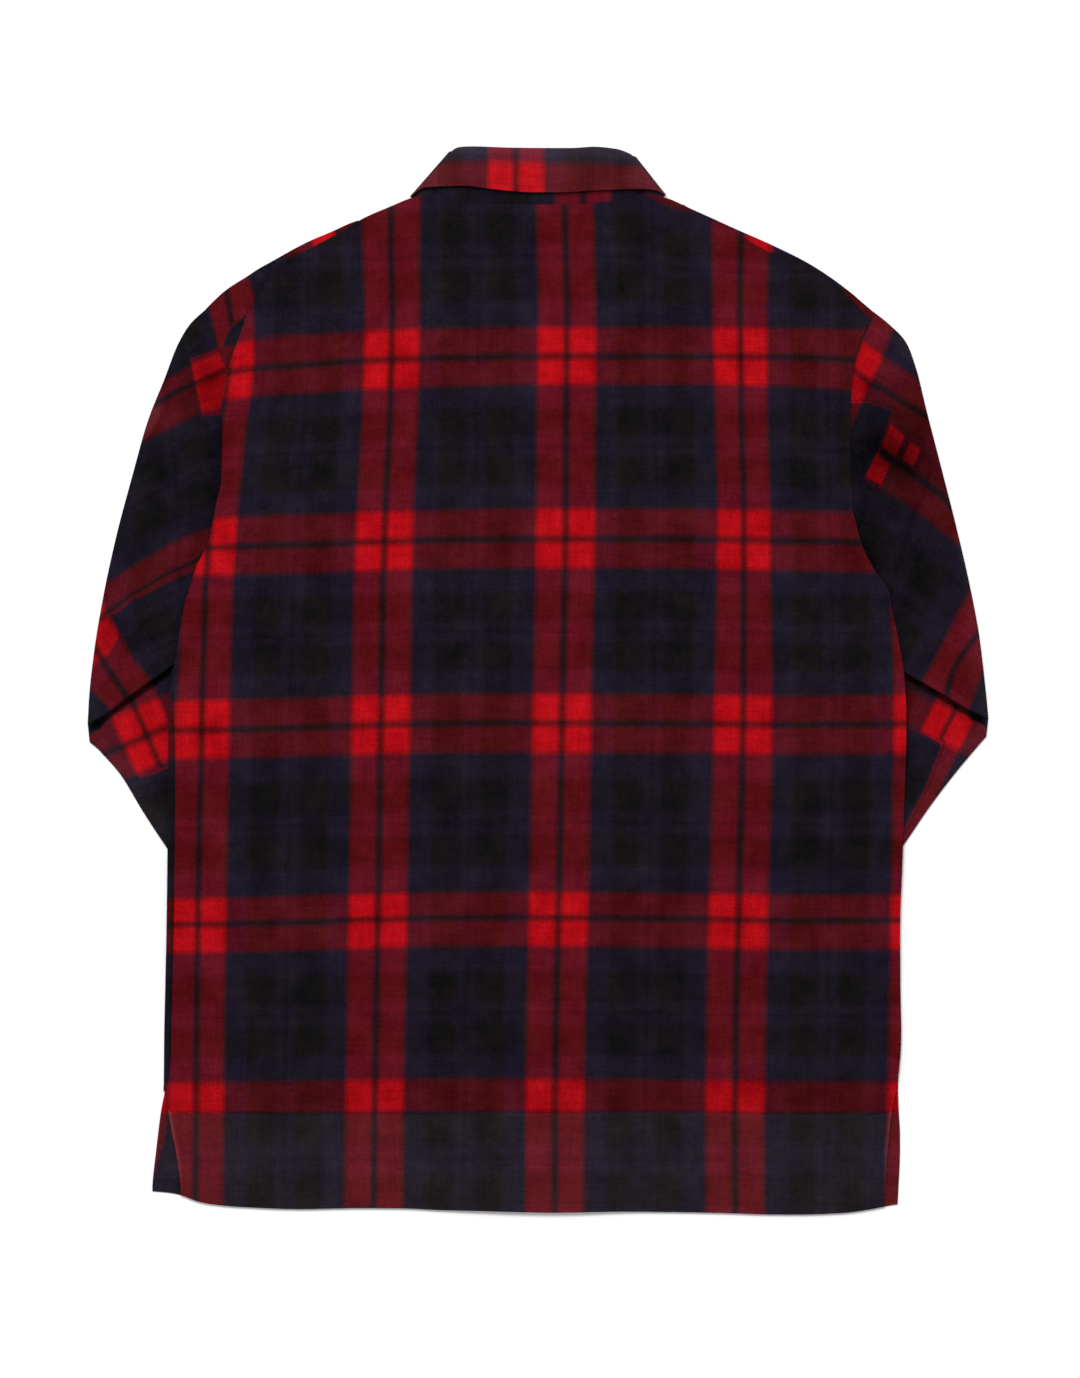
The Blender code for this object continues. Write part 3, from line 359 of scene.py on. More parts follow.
# Red warp stripes of the body: count of the edges and middles, then the distance across of each
# at these heights.
WARP_UP = (-406.4, -355.1, -260.4, -149.9, -78.9, 0.0, 71.0, 142.0, 205.1, 299.8, 329.8, 374.8)
BACK_WARP = [
    (-2.158, [(-406.4, -292.3), (-150.0, -290.4), (-100.0, -289.2), (-30.0, -286.0),
              (10.0, -282.8), (60.0, -281.6), (142.0, -279.5), (300.0, -268.0)]),
    (-2, [(-406.4, -270.4), (-260.4, -269.3), (-149.9, -267.8), (0.0, -264.4), (71.0, -262.1),
          (142.0, -257.7), (205.1, -250.6), (225.0, -246.8), (245.0, -244.2), (265.0, -243.6),
          (284.0, -244.3), (299.8, -245.8), (374.8, -246.0)]),
]
BACK_WARP += [(count, list(zip(WARP_UP, places))) for count, places in (
    (-1.158, (-153.2, -152.4, -150.9, -148.9, -147.9, -146.7, -145.6, -142.7, -139.1, -136.4,
              -138.2, -139.7)),
    (-0.842, (-106.4, -106.0, -104.6, -102.5, -101.5, -100.2, -99.3, -97.8, -94.6, -92.9, -93.8,
              -92.4)),
    (-0.158, (-10.1, -10.3, -8.9, -6.7, -5.4, -3.8, -2.3, -1.5, -1.2, 0.2, -0.6, -1.7)),
    (0.158, (36.5, 36.5, 37.6, 40.5, 41.7, 42.8, 44.4, 45.5, 45.6, 45.9, 44.9, 44.0)),
    (0.842, (132.4, 132.0, 132.8, 135.5, 137.5, 139.3, 141.1, 141.8, 140.0, 137.5, 137.2, 136.7)),
    (1.158, (179.0, 178.9, 179.9, 182.4, 184.5, 185.3, 183.7, 183.4, 181.2, 181.1, 182.1, 183.9)),
    (2, (296.4, 297.4, 299.4, 301.2, 302.0, 302.5, 299.7, 298.2, 296.6, 297.4, 298.3, 298.4)),
)]

# Red weft stripes of the body: count of the edges and middles, downwards from the shoulders,
# then the height of each at these distances across.
WEFT_ACROSS = (-230.8, -207.1, -171.6, -151.9, -88.8, -21.7, 57.2, 120.3, 199.2, 260.8)
BACK_WEFT = [(count, list(zip(WEFT_ACROSS, heights))) for count, heights in (
    (-0.158, (267.5, 272.3, 273.6, 275.3, 277.7, 278.9, 278.9, 279.6, 278.3, 277.4)),
    (0, (245.2, 248.0, 250.0, 251.9, 254.1, 255.6, 255.6, 255.8, 255.3, 252.3)),
    (0.158, (223.1, 225.2, 226.8, 228.7, 231.4, 233.2, 233.2, 233.6, 232.1, 227.9)),
    (0.842, (129.5, 130.8, 131.4, 132.6, 134.6, 135.9, 135.9, 136.1, 134.3, 132.9)),
    (1, (105.6, 106.7, 107.5, 108.5, 110.7, 111.5, 111.6, 111.6, 110.1, 108.6)),
    (1.158, (83.3, 83.9, 84.5, 85.6, 88.1, 88.5, 88.4, 88.5, 86.3, 84.9)),
    (1.842, (-14.6, -14.2, -13.2, -12.2, -10.5, -10.3, -10.7, -10.8, -11.8, -11.3)),
    (2, (-38.4, -38.0, -36.6, -35.8, -34.0, -33.6, -33.8, -34.2, -35.0, -34.5)),
    (2.158, (-61.0, -60.6, -59.3, -58.8, -57.3, -56.9, -57.3, -57.6, -58.6, -57.9)),
    (2.842, (-171.2, -170.6, -169.3, -169.0, -167.4, -166.7, -167.2, -167.7, -169.2, -169.1)),
    (3, (-191.6, -191.1, -190.2, -188.9, -187.4, -186.7, -187.3, -188.0, -189.3, -189.1)),
    (3.158, (-214.3, -213.8, -212.7, -212.1, -210.1, -209.6, -210.2, -210.8, -212.8, -212.4)),
    (3.842, (-316.6, -316.3, -315.5, -315.1, -314.2, -313.7, -314.2, -315.3, -316.2, -316.4)),
    (3.979, (-339.7, -339.5, -339.5, -339.5, -339.0, -338.9, -339.2, -339.4, -339.9, -339.6)),
    (4.141, (-363.8, -363.4, -363.0, -362.6, -362.2, -362.2, -362.2, -363.0, -363.6, -364.4)),
    (4.288, (-392.2, -391.9, -391.5, -391.1, -390.7, -390.7, -390.7, -391.4, -392.0, -392.8)),
    (4.44, (-419.9, -419.5, -419.1, -418.7, -418.3, -418.3, -418.3, -419.1, -419.7, -420.5)),
)] + [(-0.835, [(-266.6, 390.0), (72.0, 390.0), (81.0, 386.5), (88.9, 379.6), (100.7, 374.1),
                (112.6, 370.1), (128.4, 369.3), (160.0, 366.0), (286.4, 366.0)])]

# Sleeves the same, with the parts of a repeat where the stripes begin and end.
LEFT_WARP = [
    (-0.165, [(16.2, -199.5), (63.6, -222.0), (126.8, -230.0), (170.0, -240.0), (216.9, -243.0),
        (261.1, -246.0), (291.0, -252.0)]),
    (-0.835, [(5.9, -308.5), (17.0, -318.0), (35.2, -327.5), (51.7, -340.1), (63.6, -343.3),
        (95.2, -342.0), (126.8, -338.0), (170.0, -333.0), (250.0, -345.0)]),
    (-1.0, [(-7.5, -328.2), (4.3, -335.4), (9.9, -339.3), (22.5, -347.6)]),
    (-1.165, [(-19.4, -341.7), (-9.9, -351.2)]),
]
LEFT_WEFT = [
    (-0.16, [(-292.7, 238.2), (-282.4, 244.5), (-266.6, 253.2), (-248.5, 260.3)]),
    (0.0, [(-298.2, 221.6), (-282.4, 230.3), (-266.6, 236.6), (-247.7, 245.3)]),
    (0.16, [(-308.5, 190.0), (-298.2, 194.7), (-282.4, 202.6), (-266.6, 210.9), (-249.2, 215.3)]),
    (0.84, [(-337.7, 79.4), (-321.9, 89.7), (-306.1, 99.1), (-290.3, 108.6), (-274.5, 115.7),
        (-257.1, 121.3)]),
    (1.0, [(-337.7, 54.9), (-321.9, 66.0), (-306.1, 75.4), (-290.3, 84.9), (-274.5, 91.2),
        (-263.5, 97.6)]),
    (1.16, [(-353.5, 9.9), (-338.5, 20.1), (-331.4, 32.0), (-328.2, 49.4), (-324.3, 58.1),
        (-319.6, 62.8), (-306.1, 69.9), (-290.3, 78.6), (-271.4, 86.5)]),
]
RIGHT_WARP = [
    (0.017, [(158.4, 231.1), (221.6, 242.9), (248.5, 250.0), (267.4, 257.1), (282.4, 259.5)]),
    (0.165, [(190.0, 242.9), (221.6, 257.1), (237.4, 264.3), (256.4, 273.7), (273.7, 280.1)]),
    (0.835, [(2.8, 303.8), (30.4, 318.8), (53.3, 329.8), (69.9, 339.3), (142.6, 373.3)]),
    (1.0, [(-9.1, 322.7), (7.5, 326.7), (22.5, 335.8), (35.2, 346.4), (63.6, 365.4)]),
    (1.165, [(-15.4, 344.0), (9.9, 353.5), (32.0, 367.7)]),
]
RIGHT_WEFT = [
    (-0.16, [(246.9, 276.1), (257.9, 267.4), (273.7, 255.6), (286.4, 247.7), (299.0, 239.0),
        (310.1, 231.9)]),
    (0.0, [(248.9, 245.3), (261.9, 234.2), (273.7, 229.1), (290.3, 218.4), (305.3, 209.7)]),
    (0.13, [(248.5, 225.5), (262.7, 217.0), (277.7, 207.0), (290.3, 198.7), (305.3, 190.2),
        (318.0, 182.2)]),
    (0.87, [(246.9, 222.0), (262.7, 216.0), (277.7, 206.0), (290.3, 197.5), (305.3, 189.0),
        (318.0, 181.0)]),
    (1.0, [(246.9, 188.4), (262.7, 183.7), (270.6, 179.3), (286.4, 169.5), (301.0, 158.4),
        (318.8, 145.8), (323.5, 139.4)]),
    (1.16, [(246.9, 163.1), (255.6, 158.4), (284.0, 143.4), (306.9, 126.8), (331.4, 107.0)]),
    (1.766, [(278.5, 8.3), (302.2, -7.5), (331.4, -19.4), (353.5, -31.2)]),
]
# Left shoulder's strip and the left front's corner at the hem.
STRIP_WARP = [
    (-0.165, [(264.3, -253.6), (293.5, -260.3)]),
    (0.0, [(280.1, -242.1), (306.1, -246.1)]),
    (0.165, [(302.2, -222.4), (318.0, -227.9)]),
    (0.835, [(332.2, -175.8), (348.0, -180.5)]),
    (1.0, [(339.3, -153.7), (355.1, -158.4)]),
]
VENT_WARP = [
    (-0.165, [(-406.5, -353.5), (-386.7, -348.0), (-363.0, -342.1), (-345.6, -339.3),
        (-319.6, -336.1)]),
    (0.165, [(-406.5, -306.9), (-386.7, -301.4), (-363.0, -294.7), (-345.6, -291.9),
        (-319.6, -288.7)]),
]
# Right shoulder's edge: weft count at each place across.
EDGE_WEFT = [(128.0, -0.26), (160.5, -0.17), (164.0, -0.15), (184.0, -0.11), (188.0, -0.18),
             (207.0, -0.28), (237.0, -0.18), (243.0, -0.15), (264.0, -0.12)]

# Forearms: a fixed place, where the count there starts, and how fast it rises across and up.
#            x       y      warp per x  per y   weft per x   per y
FOREARM_CHECK = {-1: (-308.7, -43.5, 0.00713, 0.00311, 0.00261, -0.00599),
                 +1: (330.0, -21.3, 0.00834, -0.00404, -0.00227, -0.00468)}

# Where a fold brings other cloth to the top: outline, 0 for warp or 1 for weft, and its count.
UPPER_PATCHES = {
    -1: [([(-276.5, 255.6), (-246.1, 265.1), (-246.1, 210.0), (-265.8, 207.0)], 0, -0.1),
         ([(-338.5, 51.7), (-332.2, 53.3), (-324.3, 58.9), (-318.0, 62.8), (-318.0, 32.0),
           (-326.7, 35.2)], 1, 1.24)],
    +1: [([(243.7, 220.0), (261.1, 220.0), (280.8, 213.7), (277.7, 205.0), (269.8, 184.5),
           (256.4, 159.5), (252.0, 148.0), (243.7, 148.0)], 1, -0.3),
         ([(277.7, 205.0), (291.9, 193.2), (282.4, 173.4), (269.8, 184.5)], 0, 0.11),
         ([(293.5, 190.8), (304.5, 183.7), (296.6, 166.3), (284.8, 173.4)], 0, 0.11),
         ([(268.2, 182.1), (280.1, 171.8), (271.4, 152.1), (255.6, 160.8)], 0, 0.11)],
}
FOREARM_PATCHES = {
    -1: [([(-331.4, -81.8), (-314.0, -79.4), (-291.9, -69.1), (-282.4, -86.5), (-285.6, -149.7),
           (-331.4, -149.7)], 0, -0.3)],
    +1: [([(284.8, -48.6), (303.0, -43.1), (318.8, -50.2), (306.9, -82.6), (284.8, -126.0)],
          0, -0.3)],
}
WANDER = 0.010              # how far its edges wander, in repeats
PATCH_EDGE = 4.4            # distance over which one count goes over into the other
FOLDED_COUNT = 0.148        # the right sleeve's weft count where two of its stripes meet

SLEEVE_CHECK = {-1: (LEFT_WARP, LEFT_WEFT), +1: (RIGHT_WARP, RIGHT_WEFT)}
# Place across of a red stripe's middle on the pieces that are counted evenly.
FRONT_RIGHT_STRIPE = 290.3
RIGHT_STRIP_STRIPE = 161.2
STAND_STRIPE = 35.6
LEAF_STRIPE = -17.4
ROLL_WARP = (0.30, -290.0)  # warp count of the left side's rolled edge, and the place that has it
BEHIND_WARP = (0.36, -240.0)            # and of the cloth behind the crease
BEHIND_WEFT = (-0.163, 265.0, 0.00827)  # its weft count, its height, and how fast it falls
STRIP_WEFT = (2.462, 0.00688)           # the strip's at the table's middle line, falling upwards
STRIP_STEP = (0.36, -161.5, 3.0)        # it drops by this much here, over this distance
LEAF_WEFT = (-0.16, 0.00516)            # the leaf's on the line below, rising downwards
LEAF_LINE = [(-73.1, 410.4), (-17.8, 409.6), (33.6, 408.8), (74.7, 406.5)]
STAND_WEFT = [(-90.0, -0.6), (38.3, -0.2), (90.0, -0.4)]

# Soft swells in the cloth: middle, half length, half width, turn in degrees, height.
BACK_SWELLS = [(-150.0, 285.0, 90.0, 14.0, 24.0, 0.9), (-40.0, 330.0, 80.0, 16.0, 4.0, 0.5),
               (130.0, 300.0, 85.0, 14.0, -24.0, 0.9), (215.0, 205.0, 70.0, 10.0, -74.0, 0.8),
               (-212.0, 160.0, 80.0, 11.0, 80.0, 0.9), (60.0, 170.0, 110.0, 20.0, -12.0, 0.5),
               (-90.0, 40.0, 120.0, 22.0, 16.0, 0.6), (150.0, -40.0, 100.0, 18.0, -20.0, 0.6),
               (-225.0, -110.0, 80.0, 14.0, 68.0, 0.7), (40.0, -190.0, 130.0, 22.0, 8.0, 0.5),
               (230.0, -240.0, 90.0, 14.0, 82.0, 0.7), (-120.0, -310.0, 100.0, 18.0, -10.0, 0.5)]
LEFT_SWELLS = [(-300.0, 190.0, 70.0, 7.0, -62.0, 1.2), (-322.0, 90.0, 60.0, 6.0, -70.0, 1.3),
               (-312.0, 40.0, 44.0, 6.0, -38.0, 1.6), (-280.0, 130.0, 46.0, 6.0, -50.0, 1.0),
               (-336.0, 10.0, 30.0, 5.0, -30.0, 1.2), (-285.0, -60.0, 50.0, 6.0, 40.0, 1.2)]
RIGHT_SWELLS = [(296.0, 200.0, 60.0, 7.0, 58.0, 1.2), (318.0, 110.0, 60.0, 6.0, 70.0, 1.3),
                (308.0, 50.0, 44.0, 6.0, 36.0, 1.6), (274.0, 150.0, 40.0, 6.0, 52.0, 1.0),
                (336.0, 10.0, 30.0, 5.0, 28.0, 1.2), (330.0, -52.0, 44.0, 6.0, -36.0, 1.2)]

# Painted light on the sleeves' cloth, in the same form: below 0 it is painted shade, over parts of
# the upper sleeves, in the fold by the left armhole and beside the body's edges; above 0 it is
# paler along a few narrow streaks.
LEFT_SHADE_AND_STREAKS = [(-260.0, 236.0, 28.0, 20.0, 80.0, -0.55), (-298.0, 150.0, 60.0, 26.0, 70.0, -0.15),
             (-252.0, 165.0, 45.0, 9.0, 84.0, -0.40), (-300.0, 50.0, 34.0, 26.0, 50.0, -0.20),
             (-341.0, 33.0, 22.0, 12.0, 60.0, -0.38), (-304.0, 206.0, 26.0, 9.0, 68.0, 0.055),
             (-318.0, 152.0, 26.0, 8.0, 74.0, 0.02)]
RIGHT_SHADE_AND_STREAKS = [(281.0, 178.0, 40.0, 32.0, -35.0, -0.84), (256.0, 190.0, 40.0, 10.0, 88.0, -0.10),
              (262.0, 95.0, 60.0, 11.0, -76.0, -0.35), (262.0, 232.0, 16.0, 12.0, 0.0, -0.25),
              (290.0, 95.0, 40.0, 22.0, -70.0, -0.28), (322.0, 148.0, 40.0, 9.0, -70.0, 0.02)]
SLEEVE_SWELLS = {-1: LEFT_SWELLS, +1: RIGHT_SWELLS}
SLEEVE_SHADE_AND_STREAKS = {-1: LEFT_SHADE_AND_STREAKS, +1: RIGHT_SHADE_AND_STREAKS}
EDGE_SHEEN = 0.014           # painted sheen along a sleeve's outer fold, gone this far in from it
EDGE_RUN = 11.0
HEM_WEAR = 0.016            # below the last stripe
BAND_WEAR = 0.14            # along it
BAND_START = (-312.0, 6.0)  # height where it starts, and over what distance
BAND_END = (-334.0, 8.0)
RIM_HIGHLIGHT = 0.07             # painted highlight along the vents' edges
VENT_TOP = -322.0
VENT_HIGHLIGHT_FADE = (-410.0, 60.0)  # the painted highlight fades in from here upwards, over this distance
LEAF_WEAR = 0.009           # all over the collar's leaf
LEAF_SHADE = 3.2            # the painted shadow on the stand reaches this far below its edge
FOLD_WEAR = 0.036           # along the collar's fold
TIP_WEAR = 0.03             # towards the collar's ends

# ---- ends, fades and presses of single pieces. A pair is a place and the way over which it
# fades in, and a number before a pair is the most that it comes to. ----
LAP_FOOT, LAP_TOP = (70.0, 25.0), (300.0, 12.0)     # heights of the back's lap over a sleeve
ROLL_LAP = 0.3              # the back laps this far over the end of the rolled edge
NECK_SIDE = 100.0           # the shoulders begin this far across
RIGHT_LOWER = (0.9, 104.0, 14.0)    # a front's shoulder stays this much below its line
LEFT_LOWER = (1.4, -152.0, 16.0)
STRIP_END_LAP = 0.1         # the back laps this far over the right strip's end
STRIP_SLANT = 1.12          # height taken by each millimetre of that slanting strip's width
HEM_STEP = 1.2              # the hem's extra thickness ends over this
HEM_GROOVE = 0.35           # pressed in by the hem's seam
GROOVE_SHARE = 0.4          # part of that which comes off the thickness
PUCKER = (0.22, 4.5)        # height, and how far up and down it runs
PUCKER_WAVE, PUCKER_DRIFT = 0.62, 0.081     # radians for each millimetre across
RIGHT_TUCK = (118.0, 10.0)
RIGHT_STRIP_PARTS = 5
RIGHT_STRIP_OUT = (1.6, 14.0)       # at the strip's outer end, and where that has faded out
RIGHT_STRIP_LIFT = (1.5, 12.0)
FLAP_PARTS = 40
FLAP_RELEASE = 10.0         # rows over which the flap's last part comes down
FLAP_REACH, FLAP_LIFT_RUN = 34.0, 12.0      # from its outer end
BEHIND_DROP = 0.35          # the cloth behind the crease lies this much lower
PLACKET_POINTS = (41, 181)
PLACKET_PRESS = (0.12, 0.9)         # depth on each side, and half its width
BIAS = 0.71                 # the placket's check runs at 45 degrees
STAND_POINTS = 25
STAND_END_RUN = 24.0        # the stand's right end rises over its left one in this
STAND_SHIFT = (0.12, -60.0, 30.0)   # of the warp count, towards the left
STAND_SHADOW, STAND_SHADOW_RUN = 0.5, 1.4       # painted shadow on the stand beside the leaf's edge: how dark, and over what distance it fades in
POINT_SHIFT = 0.3           # of the weft count on the leaf's points
FOLD_RUN = 9.0              # the rubbed collar fold fades over this
TIP_RUN = (62.0, 28.0)
LEAF_RIM = (0.25, 7.0, 3.0)         # the leaf's turned edge is thicker
LEAF_GROOVE = (0.3, 0.8)            # and thinner at its seam
ARMHOLE_SEWN = (96.0, 284.0)        # heights between which the armhole's stitches show
RIGHT_SEAM_END = 258.0
LEFT_SEAM_PAST = 84.0       # the left shoulder's stitches begin this far past the flap's end
PLACKET_SEWN = (8.0, 294.0, 60)     # above the hem, up to, and the number of places
STITCH_SUNK = 0.1           # a line of stitches lies this deep in the cloth's face


# ---------------------------------------------------------------- what a user may change

# What each colour has in common.
COLOUR = {"min": 0.0, "max": 1.0, "size": 3, "subtype": "COLOR"}


class FlannelSettings(bpy.types.PropertyGroup):
    """Colours and finish of the cloth."""
    black: FloatVectorProperty(name="Black yarn", description="Darkest yarn of the check",
                               default=(0.0056, 0.0047, 0.0054), **COLOUR)
    navy: FloatVectorProperty(name="Navy yarn", description="Blue-black yarn beside the red",
                              default=(0.0100, 0.0072, 0.0158), **COLOUR)
    wine: FloatVectorProperty(name="Wine", description="Red warp crossing dark weft",
                              default=(0.0714, 0.0034, 0.0053), **COLOUR)
    wine_weft: FloatVectorProperty(name="Wine weft", description="Red weft crossing dark warp",
                                   default=(0.0545, 0.0036, 0.0048), **COLOUR)
    red: FloatVectorProperty(name="Red", description="Red warp crossing red weft",
                             default=(0.331, 0.0027, 0.0058), **COLOUR)
    # The pale colour is also that of the painted sheen along the sleeves' outer folds and the
    # painted highlight along the vents' edges.
    pale: FloatVectorProperty(name="Rubbed nap", description="Pale fluff where cloth is rubbed",
                              default=(0.30, 0.22, 0.25), **COLOUR)
    lint: FloatProperty(name="Lint", description="How unevenly the pale fluff lies on the cloth",
                        default=0.022, min=0.0, max=0.2)
    twill_pitch: FloatProperty(name="Twill pitch", description="Distance between twill lines",
                               default=0.0007, min=0.0004, max=0.005, unit="LENGTH")
    nap: FloatProperty(name="Nap", description="How uneven the brushed surface is",
                       default=0.26, min=0.0, max=1.0, subtype="FACTOR")
    roughness: FloatProperty(name="Roughness", description="Roughness of the brushed cloth",
                             default=0.95, min=0.0, max=1.0, subtype="FACTOR")


class SewingSettings(bpy.types.PropertyGroup):
    """Threads and buttons."""
    pitch: FloatProperty(name="Stitch pitch", description="From one stitch to the next",
                         default=0.0032, min=0.001, max=0.01, unit="LENGTH")
    thread: FloatProperty(name="Thread", description="Thickness of the sewing thread",
                          default=0.0004, min=0.0002, max=0.002, unit="LENGTH")
    thread_colour: FloatVectorProperty(name="Thread colour", description="Sewing thread",
                                       default=(0.020, 0.004, 0.006), **COLOUR)
    button_colour: FloatVectorProperty(name="Button colour", description="Turned resin buttons",
                                       default=(0.020, 0.018, 0.022), **COLOUR)


class StudioSettings(bpy.types.PropertyGroup):
    """Floor, light and camera."""
    floor: FloatProperty(name="Floor", description="Side of the square floor",
                         default=12.0, min=1.0, max=50.0, unit="LENGTH")
    distance: FloatProperty(name="Camera height", description="Camera above the table",
                            default=6.0, min=1.0, max=20.0, unit="LENGTH")
    view_height: FloatProperty(name="View", description="Height of the view on the table",
                               default=1.0886, min=0.2, max=5.0, unit="LENGTH")
    sky: FloatProperty(name="Sky", description="Strength of the even light",
                       default=0.62, min=0.0, max=5.0)
    lamp: FloatProperty(name="Lamp", description="Power of the soft lamp",
                        default=75.5, min=0.0, max=1000.0, unit="POWER")


# ---------------------------------------------------------------- curves and distances

def smooth(t):
    """Rises from 0 to 1 with level ends: t squared times three less two t."""
    t = np.clip(t, 0.0, 1.0)
    return t * t * (3.0 - 2.0 * t)


def curve(table, column, knots=0):
    """Smooth curve through one column of a table that never overshoots its knots: a cubic
    between each two knots, with the harmonic mean of the slopes at a knot."""
    rows = np.array(table, dtype=float)
    x = rows[:, knots]
    y = rows[:, column]
    slope = np.diff(y) / np.diff(x)
    turn = np.zeros(len(x))
    same_way = slope[:-1] * slope[1:] > 0
    mean = 2.0 * slope[:-1] * slope[1:] / np.where(same_way, slope[:-1] + slope[1:], 1.0)
    turn[1:-1] = np.where(same_way, mean, 0.0)
    turn[0] = slope[0]
    turn[-1] = slope[-1]

    def at(value):
        value = np.clip(value, x[0], x[-1])
        i = np.clip(np.searchsorted(x, value) - 1, 0, len(x) - 2)
        step = x[i + 1] - x[i]
        t = (value - x[i]) / step
        return (y[i] * (1 - t) ** 2 * (1 + 2 * t) + turn[i] * step * t * (1 - t) ** 2
                + y[i + 1] * t * t * (3 - 2 * t) - turn[i + 1] * step * t * t * (1 - t))
    return at


def run_of(points):
    """Distance of each point from the start of its line, along the line."""
    steps = np.linalg.norm(np.diff(points, axis=0), axis=-1)
    return np.concatenate([0.0 * steps[:1], np.cumsum(steps, axis=0)])


def unit(vectors):
    """Vectors of length 1 with the same directions."""
    return vectors / np.maximum(np.linalg.norm(vectors, axis=-1, keepdims=True), 1e-12)


def along(points, count):
    """Points spaced evenly along an open line."""
    points = np.array(points, dtype=float)
    run = run_of(points)
    place = np.linspace(0.0, run[-1], count)
    return np.stack([np.interp(place, run, points[:, k]) for k in range(points.shape[1])], axis=1)


def distance(x, y, outline, closed=True):
    """Distance from each place to an outline, 0 inside it where it is closed: the least distance
    to any of its sides, and inside by counting the sides crossed."""
    corners = np.array(outline, dtype=float)
    ends = np.roll(corners, -1, axis=0) if closed else corners[1:]
    starts = corners if closed else corners[:-1]
    nearest = np.full(np.shape(x), np.inf)
    inside = np.zeros(np.shape(x), dtype=bool)
    for (ax, ay), (bx, by) in zip(starts, ends):
        length = max((bx - ax) ** 2 + (by - ay) ** 2, 1e-9)
        t = np.clip(((x - ax) * (bx - ax) + (y - ay) * (by - ay)) / length, 0.0, 1.0)
        nearest = np.minimum(nearest, np.hypot(x - ax - t * (bx - ax), y - ay - t * (by - ay)))
        crosses = (ay > y) != (by > y)
        span = np.where(crosses, by - ay, 1.0)
        inside ^= crosses & (x < (bx - ax) * (y - ay) / span + ax)
    return np.where(inside & closed, 0.0, nearest)


def cover(x, y, outline, reach=CELL, fall=FALL, closed=True):
    """1 over an outline and for the reach beyond it, then down to 0."""
    return smooth(1.0 - (distance(x, y, outline, closed) - reach) / fall)


def swells(x, y, table):
    """Sum of long soft swells: each is its height times a bell of the distance along it over its
    length and across it over its width."""
    total = np.zeros(np.shape(x))
    for middle_x, middle_y, length, width, degrees, height in table:
        turn = math.radians(degrees)
        s = (x - middle_x) * math.cos(turn) + (y - middle_y) * math.sin(turn)
        t = (y - middle_y) * math.cos(turn) - (x - middle_x) * math.sin(turn)
        total = total + height * np.exp(-(s / length) ** 2 - (t / width) ** 2)
    return total


def settled(heights, passes):
    """Heights of a grid after each point has taken the mean of itself, counted twice, and its four
    neighbours, in each pass."""
    for _ in range(passes):
        wide = np.pad(heights, 1, mode="edge")
        heights = (2 * heights + wide[:-2, 1:-1] + wide[2:, 1:-1] + wide[1:-1, :-2]
                   + wide[1:-1, 2:]) / 6.0
    return heights


def through(points, at):
    """A broken line's value at each place. Past its ends it keeps the slope of its last part."""
    knots = np.array(points, dtype=float)
    x, y = knots[:, 0], knots[:, 1]
    first = (y[1] - y[0]) / (x[1] - x[0])
    last = (y[-1] - y[-2]) / (x[-1] - x[-2])
    return (np.interp(at, x, y) + first * np.minimum(at - x[0], 0.0)
            + last * np.maximum(at - x[-1], 0.0))


def counted(lines, place, across, repeat, downwards=False):
    """Place in the cloth, in repeats of the check. On each line of the table the count has that
    line's value, between two lines it changes evenly, and outside them by one in each repeat."""
    way = -1.0 if downwards else 1.0
    lines = sorted(lines)
    at = [way * through(points, place) for _, points in lines]
    across = way * across
    for k in range(1, len(at)):
        at[k] = np.maximum(at[k], at[k - 1] + 0.4)
    count = lines[0][0] + (across - at[0]) / repeat
    for k in range(len(lines) - 1):
        share = np.clip((across - at[k]) / (at[k + 1] - at[k]), 0.0, 1.0)
        here = lines[k][0] + share * (lines[k + 1][0] - lines[k][0])
        count = np.where(across > at[k], here, count)
    return np.where(across > at[-1], lines[-1][0] + (across - at[-1]) / repeat, count)


def warp_count(lines, x, y):
    """Count across the cloth, from lines that each give the place across at some heights."""
    return counted(lines, y, x, WARP_REPEAT)


def weft_count(lines, x, y):
    """Count down the cloth, from lines that each give the height at some places across."""
    return counted(lines, x, y, WEFT_REPEAT, downwards=True)


def patched(check, x, y, patches):
    """The count with the patches' own counts inside their outlines. It goes over evenly on both
    sides of an outline, and has gone over in full at half the edge's width inside it."""
    for outline, axis, count in patches:
        depth = distance(x, y, outline + outline[:1], closed=False)
        depth = np.where(distance(x, y, outline) > 0, -depth, depth)
        check[..., axis] += (count - check[..., axis]) * np.clip(0.5 + depth / PATCH_EDGE, 0.0, 1.0)
    return check


def sleeve_check(side, x, y):
    """Count on the upper sleeve. Two stripes meet in a fold down the right one, so there the weft
    count rises to a limit and goes back the same way."""
    warp, weft = SLEEVE_CHECK[side]
    check = np.stack([warp_count(warp, x, y), weft_count(weft, x, y)], axis=-1)
    if side > 0:
        check[..., 1] = np.minimum(np.minimum(check[..., 1], 1.0 - check[..., 1]), FOLDED_COUNT)
    return patched(check, x, y, UPPER_PATCHES[side])


def forearm_check(side, x, y):
    """Even count over the forearm, turned with it."""
    at_x, at_y, warp_x, warp_y, weft_x, weft_y = FOREARM_CHECK[side]
    check = np.stack([(x - at_x) * warp_x + (y - at_y) * warp_y,
                      (x - at_x) * weft_x + (y - at_y) * weft_y], axis=-1)
    return patched(check, x, y, FOREARM_PATCHES[side])


# ---------------------------------------------------------------- meshes

def cells(grid):
    """The four corners of each cell of a grid, cell by cell."""
    corners = np.stack([grid[:-1, :-1], grid[:-1, 1:], grid[1:, 1:], grid[1:, :-1]], axis=2)
    return corners.reshape(-1, 4, *grid.shape[2:])


def ringed(grid):
    """A grid whose rows are rings, with its first column again at the end."""
    return np.hstack([grid, grid[:, :1]])


def numbered(rows, columns, first=0):
    """A grid of point numbers, row by row."""
    return first + np.arange(rows * columns).reshape(rows, columns)


